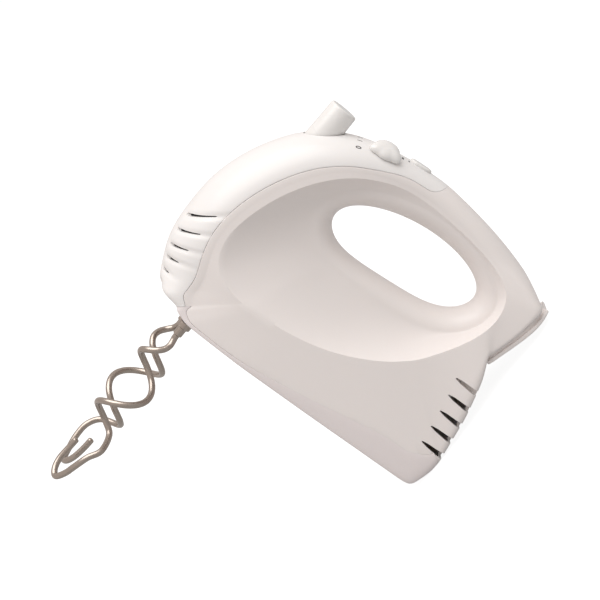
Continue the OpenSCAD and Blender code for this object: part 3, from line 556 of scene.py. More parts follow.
@dataclass
class BodyForm:
    """The mixer's outer skin, as sections from the finger opening to the rim.

    Heights h run along +X from the lowest line of the base. Each row of keys holds: opening angle,
    crease h and z, rim h and z, half widths at the crease, shoulder and rim, the shoulder's share
    of the way to the rim, and the powers of the corner and of the scoop. A place is a row and a
    share of the way to the next, such as 5.3. Stations are finer, and run round the opening.
    """

    grip: tuple[float, float] = (106.0, 87.0)
    grip_len: float = 93.4
    grip_gap: float = 38.0
    grip_power: float = 0.94
    grip_slant: float = 0.115
    grip_bow: float = 0.0008
    grip_pinch: float = 1.6
    lip_w: float = 14.5
    lip_depth: float = 11.0
    curved_rows: int = 12
    fine: int = 5
    keys: tuple[tuple[float, ...], ...] = (
        (148, 127, 31, 132.2, 7.8, 21, 20.5, 16, 0.85, 3, 1.5),
        (135, 133, 43, 141, 27, 18, 17.6, 1.5, 0.15, 2, 1.3),
        (115, 136.5, 61, 147.5, 55, 16, 15.7, 1.5, 0.15, 2, 1.2),
        (90, 138, 85, 151.2, 88, 15.6, 15.3, 1.5, 0.15, 2, 1.2),
        (68, 137.5, 106, 150.6, 108, 16.6, 16.3, 1.5, 0.15, 2, 1.2),
        (50, 134.5, 121, 147.6, 129, 19, 18.7, 1.5, 0.15, 2, 1.4),
        (33, 126, 139, 140, 154, 23, 22.7, 1.5, 0.15, 2, 1.5),
        (20, 112, 154, 124, 176.5, 26, 25.7, 1.5, 0.15, 2, 1.5),
        (8, 94, 165.5, 101, 192, 28, 27.7, 1.5, 0.15, 2, 1.4),
        (-5, 74, 173, 75, 201, 29.5, 29.2, 1.5, 0.15, 2, 1.3),
        (-18, 54, 176, 50, 202.6, 30.5, 30.2, 1.5, 0.15, 2, 1.2),
        (-30, 38, 170, 28, 199.8, 31.6, 30.6, 1.5, 0.16, 2, 1.1),
        (-42, 32, 157, 8, 190.5, 33.5, 30, 1.5, 0.37, 2, 1),
        (-47, 31, 151, 4.5, 184, 34.2, 29.2, 17, 0.57, 3, 1),
        (-52, 31, 145, 4.5, 172.5, 34.8, 31.2, 27, 0.74, 4, 1),
        (-53, 31, 144, 2.9, 171.8, 34.9, 29.5, 27, 0.92, 4, 1),
        (-56, 31.5, 140, 0.4, 163, 35.3, 32.8, 30.5, 0.92, 5, 1.05),
        (-75, 33.5, 118, 1.4, 125, 36, 36.6, 33.5, 0.93, 5, 1.2),
        (-95, 40, 91, 3.7, 80, 36.4, 37.6, 35, 0.75, 7, 1.5),
        (-112, 52, 68, 6, 38, 36, 37.8, 35.5, 0.66, 7, 1.7),
        (-125, 60, 57, 7.6, 4.3, 35, 37.6, 34, 0.66, 6, 1.8),
        (-128, 63, 54, 21.5, 0, 34.5, 37, 30, 0.85, 3, 1.8),
        (-131, 66, 50, 29.5, 0, 34, 36.6, 29.5, 0.95, 3, 1.8),
        (-132, 67, 49, 29.8, 0, 34, 36.6, 29.5, 0.88, 3, 1.8),
        (-142, 78, 41, 58, 4.5, 31.5, 34.5, 27, 0.83, 3, 1.8),
        (-155, 92, 32, 80, 10.5, 28.5, 31, 25, 0.75, 3, 1.8),
        (-168, 104, 27.5, 94, 17.2, 25.5, 27, 22, 0.72, 3, 1.7),
        (-176, 109, 26.5, 94.6, 15.6, 24.5, 25, 21, 0.85, 3, 1.6),
        (-190, 118, 27, 112, 10.9, 22.5, 23, 19, 0.84, 3, 1.5),
    )
    steps: tuple[int, ...] = (
        3, 3, 3, 6, 3, 3, 3, 3, 3, 3, 3, 3, 2, 2, 1, 2, 4, 3, 3, 3, 2, 1, 1, 2, 2, 2, 1, 2, 2)
    turn_blur: float = 1.2
    rim_blur: float = 0.35

    def __post_init__(self) -> None:
        """Works out the fine stations round the opening and the smoothed values at each."""
        table = np.array(self.keys, float)
        rows, shares = [], []
        for row, count in enumerate(self.steps):
            parts = count * self.fine
            rows += [row] * parts
            shares += [k / parts for k in range(parts)]
        self.row = np.array(rows)
        self.share = np.array(shares)
        self.place = self.row + self.share
        self.count = len(rows)
        n = len(table)
        share = self.share[:, None]
        closed = [table[(self.row + k) % n] for k in (-1, 0, 1, 2)]
        crease = spline([t[:, CREASE_KEYS] for t in closed], share)
        top = [table[np.clip(self.row + k, 0, self.curved_rows)] for k in (-1, 0, 1, 2)]
        rim = spline([t[:, RIM_KEYS] for t in top], share)
        straight = (closed[1] + (closed[2] - closed[1]) * share)[:, RIM_KEYS]
        rim[self.row >= self.curved_rows] = straight[self.row >= self.curved_rows]
        turn = table[:, 0]
        following = np.append(turn[1:], turn[0] - 360)
        angle = np.radians(turn[self.row] + (following[self.row] - turn[self.row]) * self.share)
        wide = np.column_stack([crease, rim[:, 2:], np.cos(angle), np.sin(angle)])
        wide = self.blur(wide, self.turn_blur * self.fine)
        self.crease = wide[:, :2]
        self.crease_w = wide[:, 2]
        self.shoulder_w, self.rim_w, self.shoulder, self.corner, self.scoop = wide[:, 3:8].T
        self.angle = np.arctan2(wide[:, 9], wide[:, 8])
        self.rim = self.blur(rim[:, :2], self.rim_blur * self.fine)
        self.inner = self.opening(self.angle)

    @staticmethod
    def blur(values: np.ndarray, sigma: float) -> np.ndarray:
        """Smooths columns of values along the closed ring of stations.

        Args:
            values: One row for each station.
            sigma: Width of the bell in stations.

        Returns:
            The smoothed values.
        """
        reach = int(3 * sigma) + 1
        weight = np.exp(-0.5 * (np.arange(-reach, reach + 1) / sigma) ** 2)
        weight /= weight.sum()
        return sum(w * np.roll(values, k, axis=0) for k, w in zip(range(-reach, reach + 1), weight))

    def opening(self, angle: np.ndarray) -> np.ndarray:
        """Gives the finger opening's outline.

        Args:
            angle: Angles round the opening, in radians.

        Returns:
            Points as rows of h and z.
        """
        u = self.grip_len / 2 * np.cos(angle)
        s = np.sin(angle)
        h = (self.grip[0] + np.sign(s) * np.abs(s) ** self.grip_power * self.grip_gap / 2
             - self.grip_slant * u - self.grip_bow * u**2
             - np.where(s < 0, self.grip_pinch * np.sin(2 * angle) ** 2, 0))
        return np.column_stack([h, self.grip[1] + u])

    def turn_at(self, column: np.ndarray, corner: np.ndarray) -> np.ndarray:
        """Gives the corner's turn in radians at columns from 8 to 12."""
        q = np.radians(22.5 * (np.clip(column, 8, 12) - 8))
        return np.arctan2(np.sin(q) ** (2 / corner), np.cos(q) ** (2 / corner))

    def section(self, k: np.ndarray, zone: Zone, u: np.ndarray) -> np.ndarray:
        """Gives points on the left skin.

        Args:
            k: Station numbers.
            zone: The band that the points lie in.
            u: How far along the band, from 0 to 1; in the corner it is the turn in radians.

        Returns:
            Points as rows of x, y, z in millimetres.
        """
        inner, c, o = self.inner[k], self.crease[k], self.rim[k]
        reach = c - inner
        reach /= np.linalg.norm(reach, axis=1)[:, None]
        lip = inner + self.lip_depth * reach
        up = u[:, None]
        e = c + (o - c) * self.shoulder[k][:, None]
        if zone is Zone.LIP:
            q = u * math.pi / 2
            p = inner + (lip - inner) * (1 - np.cos(q))[:, None]
            w = self.lip_w * np.sin(q)
        elif zone is Zone.SCOOP:
            p = lip + (c - lip) * up
            w = self.lip_w + (self.crease_w[k] - self.lip_w) * u ** self.scoop[k]
        elif zone is Zone.SIDE:
            p = c + (e - c) * up
            w = self.crease_w[k] + (self.shoulder_w[k] - self.crease_w[k]) * u
        elif zone is Zone.CORNER:
            n = self.corner[k]
            radius = (np.abs(np.cos(u)) ** n + np.abs(np.sin(u)) ** n) ** (-1 / n)
            p = e + (o - e) * (radius * np.sin(u))[:, None]
            w = self.rim_w[k] + (self.shoulder_w[k] - self.rim_w[k]) * radius * np.cos(u)
        else:
            p = o
            w = self.rim_w[k] * (1 - u)
        return np.column_stack([p[:, 0] + FRAME_X, -w, p[:, 1]])

    def ridge(self, place: float) -> Matrix:
        """Gives the frame on the ridge at a place.

        Args:
            place: Row and share.

        Returns:
            A matrix in metres whose +Z is the outward normal and whose -X points to the nose.
        """
        k = int(np.argmin(np.abs(self.place - place)))
        ahead, behind = self.rim[k + 1], self.rim[k - 1]
        along = (ahead - behind) / np.linalg.norm(ahead - behind)
        out = np.array([along[1], -along[0]])
        origin = self.rim[k]
        return Matrix((
            (-along[0], 0, out[0], (origin[0] + FRAME_X) * MM),
            (0, 1, 0, 0),
            (-along[1], 0, out[1], origin[1] * MM),
            (0, 0, 0, 1),
        ))

    @staticmethod
    def bore(y: float, z: float) -> Matrix:
        """Gives the frame of a bore from the base line, whose +Z points along +X.

        Args:
            y: The bore's place across, in millimetres.
            z: Its height over the worktop, in millimetres.

        Returns:
            A matrix in metres.
        """
        start = Matrix.Translation((FRAME_X * MM, y * MM, z * MM))
        return start @ Matrix.Rotation(math.pi / 2, 4, "Y")

    def place_index(self, place: float) -> float:
        """Gives the fractional station number of a place.

        Args:
            place: Row and share.

        Returns:
            The station number, whose fraction is the way to the next station.
        """
        row = int(place)
        first = sum(self.steps[:row])
        return (first + (place - row) * self.steps[row]) * self.fine

    def sampled(self, at: np.ndarray) -> "BodyForm":
        """Gives a copy of the form whose stations are at fractional station numbers.

        Args:
            at: Station numbers, which may have a fraction and wrap round the ring.

        Returns:
            The copy, with one station for each number.
        """
        other = object.__new__(BodyForm)
        other.__dict__.update(self.__dict__)
        low = np.floor(at).astype(int)
        part = at - low
        low, high = low % self.count, (low + 1) % self.count
        for name in (
            "crease", "crease_w", "shoulder_w", "rim_w", "shoulder", "corner", "scoop", "rim",
        ):
            values = getattr(self, name)
            share = part[:, None] if values.ndim > 1 else part
            setattr(other, name, values[low] * (1 - share) + values[high] * share)
        turn = (self.angle[high] - self.angle[low] + math.pi) % (2 * math.pi) - math.pi
        other.angle = self.angle[low] + turn * part
        other.inner = self.opening(other.angle)
        return other

    def skin(self, at: np.ndarray, table: np.ndarray) -> tuple[np.ndarray, np.ndarray]:
        """Gives skin points and the direction of the stations there, at unchanged columns.

        Args:
            at: Fractional station numbers.
            table: Column numbers, stations by columns.

        Returns:
            Points and directions, stations by columns by 3.
        """
        ahead, behind = (self.sampled(at + step).columns(table) for step in (0.4, -0.4))
        return self.sampled(at).columns(table), ahead - behind

    def columns(self, table: np.ndarray) -> np.ndarray:
        """Gives skin points for a table of column numbers, one row for each station.

        Zone says which columns lie in which band, SHOULDER is where the corner starts and MIDDLE
        is the middle plane.

        Args:
            table: Column numbers, stations by columns.

        Returns:
            Points, stations by columns by 3, in millimetres.
        """
        stations = np.arange(len(self.crease))
        out = np.empty((*table.shape, 3))
        for j in range(table.shape[1]):
            w = table[:, j]
            column = np.empty((len(stations), 3))
            for zone in Zone:
                low, high = zone.value
                inside = (w > low) & (w <= high)
                if not inside.any():
                    continue
                k = stations[inside]
                if zone is Zone.CORNER:
                    u = self.turn_at(w[inside], self.corner[k])
                elif zone is Zone.LIP:
                    u = w[inside] / high
                elif zone is Zone.RIM:
                    u = w[inside] - low
                else:
                    u = (w[inside] - low) / (high - low)
                column[inside] = self.section(k, zone, u)
            out[:, j] = column
        return out


def normals_of(along: np.ndarray, grid: np.ndarray) -> np.ndarray:
    """Gives unit normals of a grid of points.

    Args:
        along: The direction of the stations at each point, rows by columns by 3.
        grid: Points, rows by columns by 3.

    Returns:
        Normals in the shape of the grid.
    """
    across = np.gradient(grid, axis=1)
    normal = np.cross(across, along)
    size = np.linalg.norm(normal, axis=2, keepdims=True)
    return normal / np.maximum(size, 1e-9)


@dataclass(frozen=True)
class Patch:
    """A moulded shell over part of the body's skin, with rounded edges."""

    thickness: float = 2.0
    edge: float = 0.35
    gap: float = 0.09
    edge_steps: int = 4

    def edge_rows(
            self, side: np.ndarray, normal: np.ndarray, tangent: np.ndarray) -> list[np.ndarray]:
        """Gives the rounded edge of a shell.

        Args:
            side: The skin's last line of points, where the rounding starts.
            normal: Outward normals there.
            tangent: Unit vectors along the skin, out of the patch.

        Returns:
            Lines of points from the skin to the edge's face.
        """
        turns = np.linspace(0, math.pi / 2, self.edge_steps + 1)
        centre = side - self.edge * normal
        return [centre + self.edge * (math.cos(a) * normal + math.sin(a) * tangent) for a in turns]

    def drawn_in(self, grid: np.ndarray, normal: np.ndarray) -> tuple[np.ndarray, np.ndarray]:
        """Draws a grid's rows in at both ends, by the gap and the edge's radius.

        Args:
            grid: Outer points, stations by columns by 3.
            normal: Outward normals there.

        Returns:
            The points and normals of the shorter rows.
        """
        margin = self.gap + self.edge
        points, normals = np.empty(grid.shape), np.empty(grid.shape)
        for i, row in enumerate(grid):
            run = np.concatenate([[0], np.cumsum(np.linalg.norm(np.diff(row, axis=0), axis=1))])
            at = np.clip(run, margin, run[-1] - margin)
            for axis in range(3):
                points[i, :, axis] = np.interp(at, run, row[:, axis])
                normals[i, :, axis] = np.interp(at, run, normal[i, :, axis])
        return points, normals / np.linalg.norm(normals, axis=2, keepdims=True)

    def loop(self, grid: np.ndarray, along: np.ndarray) -> np.ndarray:
        """Turns a grid of the outer skin into closed cross-sections of a shell.

        Args:
            grid: Outer points, stations by columns by 3.
            along: The direction of the stations at each point.

        Returns:
            Points, stations by points of the closed section by 3.
        """
        first, last = grid[:, 0] - grid[:, 1], grid[:, -1] - grid[:, -2]
        first /= np.maximum(np.linalg.norm(first, axis=1, keepdims=True), 1e-9)
        last /= np.maximum(np.linalg.norm(last, axis=1, keepdims=True), 1e-9)
        grid, normal = self.drawn_in(grid, normals_of(along, grid))
        head = self.edge_rows(grid[:, 0], normal[:, 0], first)[::-1]
        tail = self.edge_rows(grid[:, -1], normal[:, -1], last)
        inside = grid - self.thickness * normal
        inside[:, 0] += self.edge * first
        inside[:, -1] += self.edge * last
        ring = head + [grid[:, j] for j in range(1, grid.shape[1] - 1)] + tail
        ring += [inside[:, j] for j in range(grid.shape[1] - 1, -1, -1)]
        return np.stack(ring, axis=1)


def both_halves(half: np.ndarray) -> np.ndarray:
    """Gives a left half and its mirror image as one grid.

    Args:
        half: Points or directions, stations by columns by 3, up to the middle plane.

    Returns:
        The wide grid.
    """
    return np.concatenate([half, half[:, -2::-1] * MIRROR], axis=1)


@dataclass
class Housing:
    """The two side shells, the top cover and the base cover, with their vents and holes.

    A nose vent is a height, a z, the slope of its plane in degrees and its far end's distance
    from the middle. The tip and the notch are the places of the top cover's ends, the notch and
    the foot those of the base cover.
    """

    form: BodyForm
    patch: Patch = Patch()
    tip: float = 3.25
    tongue_len: float = 0.6
    seam_drop: float = 0.55
    foot_len: float = 0.3
    notch: float = 14.0
    foot: float = 22.0
    blend: float = 0.03
    cover_gap: float = 0.012
    vents: tuple[tuple[float, float, float, float], ...] = (
        (47.5, 199.5, 43.7, 27.5), (37.7, 198.1, 37, 27.2), (28.5, 195.7, 31.6, 26),
        (21, 193.7, 25.8, 23.5), (14.1, 191, 14.8, 19.5))
    last_groove: tuple[float, float, float, float] = (7.6, 187.6, 8, 14)
    vent_w: float = 2.0
    vent_near: float = 12
    vent_tip: float = 0.35
    vent_depth: float = 32
    vent_reach: float = 60
    groove: float = 0.8
    groove_w: float = 2.8
    groove_fade: float = 8
    groove_depth: float = 40
    nose: float = 202.6
    # The patch and depth below make a dark sheet inside the nose: painted shade behind the nose
    # vents
    shade: Patch = Patch(thickness=0.5, edge=0.1)
    shade_in: float = 3.4
    rear_vents: int = 5
    rear_first: float = 73
    rear_pitch: float = 10
    rear_w: float = 4.0
    rear_len: float = 16.5
    rear_in: float = 26
    rear_out: float = 45
    crisp: float = 32

    def seam_column(self, place: np.ndarray) -> np.ndarray:
        """Gives the column where the side shells end.

        Args:
            place: Places along the rows.

        Returns:
            Column numbers, which are MIDDLE where the side shells meet each other.
        """
        column = np.full(place.shape, float(MIDDLE))
        share = np.clip((place - self.tip) / self.tongue_len, 0, 1)
        ahead = np.clip((place - self.tip - 1) / 1.6, 0, 1)
        drop = 4 + self.seam_drop * ahead**2 * (3 - 2 * ahead)
        tongue = MIDDLE - drop * np.sqrt(1 - (1 - share) ** 2)
        top = (place >= self.tip) & (place <= self.notch)
        column[top] = tongue[top]
        end = np.clip((self.foot - place) / self.foot_len, 0, 1)
        base = (place > self.notch) & (place <= self.foot)
        column[base] = (MIDDLE - (MIDDLE - SHOULDER) * np.sqrt(1 - (1 - end) ** 2))[base]
        return column

    def places(self, start: float, end: float, extra: int) -> np.ndarray:
        """Gives places between two rows, denser next to both ends.

        Args:
            start: First place.
            end: Last place.
            extra: Steps added near each end.

        Returns:
            Places in order.
        """
        inner = self.form.place[(self.form.place > start) & (self.form.place < end)]
        near = self.blend * np.linspace(0, 1, extra + 1) ** 2
        return np.unique(np.concatenate([start + near, inner, end - near]))

    def stations(self, places: np.ndarray) -> np.ndarray:
        """Gives fractional station numbers of places."""
        return np.array([self.form.place_index(p) for p in places])

    def halves(self) -> list[bpy.types.Object]:
        """Builds the left and the right side shell.

        Returns:
            The two shells.
        """
        around = np.unique(np.concatenate([
            self.form.place,
            self.tip + self.tongue_len * (np.linspace(0, 1, 12 * FINE) ** 2),
            self.foot - self.foot_len * (np.linspace(0, 1, 12 * FINE) ** 2),
            [self.notch - 0.004, self.notch + 0.004],
        ]))
        seam = self.seam_column(around)
        fixed = np.concatenate([
            np.linspace(0, 3, 8 * FINE + 1),
            np.linspace(3, 6, 9 * FINE + 1)[1:],
            np.linspace(6, SHOULDER, 4 * FINE + 1)[1:],
        ])
        share = np.linspace(0, 1, 10 * FINE + 1)[1:]
        over = np.where(seam <= SHOULDER, SHOULDER + 0.001, seam) - SHOULDER
        table = np.concatenate(
            [np.tile(fixed, (len(around), 1)), SHOULDER + over[:, None] * share], axis=1)
        grid, along = self.form.skin(self.stations(around), table)
        left = lofted("side_shell_left", self.patch.loop(grid, along), closed=True)
        mirrored = self.patch.loop(grid * MIRROR, -along * MIRROR)
        return [left, lofted("side_shell_right", mirrored, closed=True)]

    def cover(self, name: str, start: float, end: float) -> bpy.types.Object:
        """Builds a cover that spans both sides.

        Args:
            name: The object's name.
            start: Its first place.
            end: Its last place.

        Returns:
            The cover.
        """
        around = self.places(start + self.cover_gap, end - self.cover_gap, 4)
        if start == self.tip:
            tongue = self.tip + self.tongue_len * (np.linspace(0.1, 1, 12 * FINE) ** 2)
            around = np.unique(np.concatenate([around, tongue, np.arange(8.6, 13.9, 0.12 / FINE)]))
        else:
            ends = self.foot - self.foot_len * (np.linspace(0.2, 1, 12 * FINE) ** 2)
            around = np.unique(np.concatenate([around[around < self.foot - self.foot_len], ends]))
        seam = self.seam_column(around)
        share = np.linspace(0, 1, 14 * FINE + 1)
        table = seam[:, None] + (MIDDLE - seam)[:, None] * share
        half, along = self.form.skin(self.stations(around), table)
        if start == self.tip:
            half = self.grooved(half, along)
        return lofted(name, self.patch.loop(both_halves(half), both_halves(along)))

    def vent_offset(self, vent: tuple[float, float, float, float]) -> tuple[float, float]:
        """Gives where a nose vent's plane lies.

        Args:
            vent: The vent.

        Returns:
            The plane's angle in radians, and its distance along its normal from the nose.
        """
        h, z, slope, _ = vent
        a = math.radians(slope)
        return a, h * math.cos(a) + (z - self.nose) * math.sin(a)

    def grooved(self, half: np.ndarray, along: np.ndarray) -> np.ndarray:
        """Sinks a shallow groove round each nose vent, with one more below the last.

        Args:
            half: Points of the left skin, stations by columns by 3.
            along: The direction of the stations at each point.

        Returns:
            The points, moved inwards in the grooves.
        """
        normal = normals_of(along, half)
        y = -half[:, :, 1]
        depth = np.zeros(y.shape)
        for vent in (*self.vents, self.last_groove):
            a, place = self.vent_offset(vent)
            x = (half[:, :, 0] - FRAME_X) * math.cos(a) + (half[:, :, 2] - self.nose) * math.sin(a)
            away = np.abs(x - place) / self.groove_w
            dip = np.where(away < 1, np.cos(np.clip(away, 0, 1) * math.pi / 2) ** 2, 0)
            near = np.clip((y - self.vent_near + 2) / 3, 0, 1)
            far = np.clip((vent[3] + self.groove_fade - y) / self.groove_fade, 0, 1)
            depth += self.groove * dip * near * far
        depth = np.minimum(depth, self.groove) * (half[:, :, 2] > self.nose - self.groove_depth)
        return half - depth[:, :, None] * normal

    def slot_cutter(self, vent: tuple[float, float, float, float], side: int) -> bpy.types.Object:
        """Makes a cutter for one nose vent, which narrows towards the side.

        Args:
            vent: Its place, slope and reach.
            side: -1 for the left side, 1 for the right side.

        Returns:
            A thin wedge, rounded towards the middle.
        """
        a, x = self.vent_offset(vent)
        z = -(self.vent_depth + x * math.sin(a)) / math.cos(a)
        w, tip, near, far = self.vent_w / 2, self.vent_tip, self.vent_near, vent[3]
        outline = [
            (x - w, near + 1), (x - 0.7 * w, near + 0.3), (x, near), (x + 0.7 * w, near + 0.3),
            (x + w, near + 1), (x + tip, far - 0.3), (x, far), (x - tip, far - 0.3)]
        place = Matrix.Translation((FRAME_X * MM, 0, self.nose * MM)) @ Matrix.Rotation(-a, 4, "Y")
        return self.hole_cutter(place, [(u, side * v) for u, v in outline], z, z + self.vent_reach)

    def vent_shade(self) -> None:
        """Builds a dark sheet behind the nose vents: painted shade for the shadowed inside of the
        nose.
        """
        places = np.arange(9.2, 13.3, 0.2)
        table = np.tile(np.linspace(SHOULDER + 0.8, MIDDLE, 16), (len(places), 1))
        half, along = self.form.skin(self.stations(places), table)
        half = half - self.shade_in * normals_of(along, half)
        # The dark sheet is painted shade, standing for the shadow inside the nose
        shade = lofted("vent_shade", self.shade.loop(both_halves(half), both_halves(along)))
        smooth(shade)
        dress(shade, Finish.DARK, "housing")

    def wall_z(self, h: float) -> float:
        """Gives the z of the rear wall at a height."""
        wall = self.form.keys[23:26]
        return float(np.interp(h, [key[3] for key in wall], [key[4] for key in wall]))

    def rear_cutter(self, h: float, side: int) -> bpy.types.Object:
        """Makes a cutter for one rear vent, which narrows to a point on the side.

        Args:
            h: The vent's height.
            side: -1 for the left side, 1 for the right side.

        Returns:
            A wedge-shaped cutter.
        """
        w = self.rear_w / 2
        tip = self.wall_z(h) + self.rear_len
        outline = [
            (h - w, -1), (h - w * 0.55, tip - 4.5), (h - w * 0.2, tip - 0.4),
            (h + w * 0.2, tip - 0.4), (h + w * 0.55, tip - 4.5), (h + w, -1)]
        points = [(x + FRAME_X, side * y, z)
                  for y in (self.rear_in, self.rear_out) for x, z in outline]
        n = len(outline)
        faces = [tuple(range(n)), tuple(range(2 * n - 1, n - 1, -1))]
        faces += [(i, (i + 1) % n, n + (i + 1) % n, n + i) for i in range(n)]
        cutter = mesh_object("rear_vent", np.array(points), faces)
        merge(cutter)
        return cutter

    @staticmethod
    def hole_cutter(
            place: Matrix, outline: list[tuple[float, float]], low: float,
            high: float) -> bpy.types.Object:
        """Makes a prism that cuts a hole along the local +Z of a frame.

        Args:
            place: The frame, in metres.
            outline: Points of the hole in millimetres.
            low: Start of the prism along +Z.
            high: End of the prism along +Z.

        Returns:
            The prism.
        """
        levels = np.array([[(x, y, z) for x, y in outline] for z in (low, high)])
        cutter = lofted("hole", levels, upward=True)
        cutter.data.transform(place)
        return cutter

    def build(self, holes: dict[str, list[bpy.types.Object]]) -> None:
        """Builds and dresses the four shells.

        Args:
            holes: Cutters for the top cover and the base cover, by their names.
        """
        left, right = self.halves()
        rear = [self.rear_first - i * self.rear_pitch for i in range(self.rear_vents)]
        for side, shell in zip(SIDES, (left, right)):
            subtract(shell, [self.rear_cutter(h, side) for h in rear])
            smooth(shell, self.crisp)
        top = self.cover("top_cover_shell", self.tip, self.notch)
        slots = [self.slot_cutter(vent, side) for vent in self.vents for side in SIDES]
        base = self.cover("base_cover_shell", self.notch, self.foot)
        for cover, cutters in ((top, slots + holes["top"]), (base, holes["base"])):
            subtract(cover, cutters)
            smooth(cover, self.crisp)
        dress(left, Finish.WHITE, "housing", "housing_left")
        dress(right, Finish.WHITE, "housing", "housing_right")
        dress(top, Finish.COVER, "housing", "top_cover")
        dress(base, Finish.GREY, "housing", "base_cover")
        # Then the dark sheet behind the nose vents, which is painted shade
        self.vent_shade()


# ---------------------------------------------------------------- controls


def stadium(length: float, width: float, steps: int = 16) -> list[tuple[float, float]]:
    """Gives the outline of a slot with round ends.

    Args:
        length: Overall length along X.
        width: Width along Y.
        steps: Steps round each end.

    Returns:
        Points in order, counter-clockwise.
    """
    r, reach = width / 2, (length - width) / 2
    points = []
    for k in range(2 * steps):
        a = -math.pi / 2 + math.pi * (k % steps) / (steps - 1) + (math.pi if k >= steps else 0)
        points.append((reach * (1 if k < steps else -1) + r * math.cos(a), r * math.sin(a)))
    return points


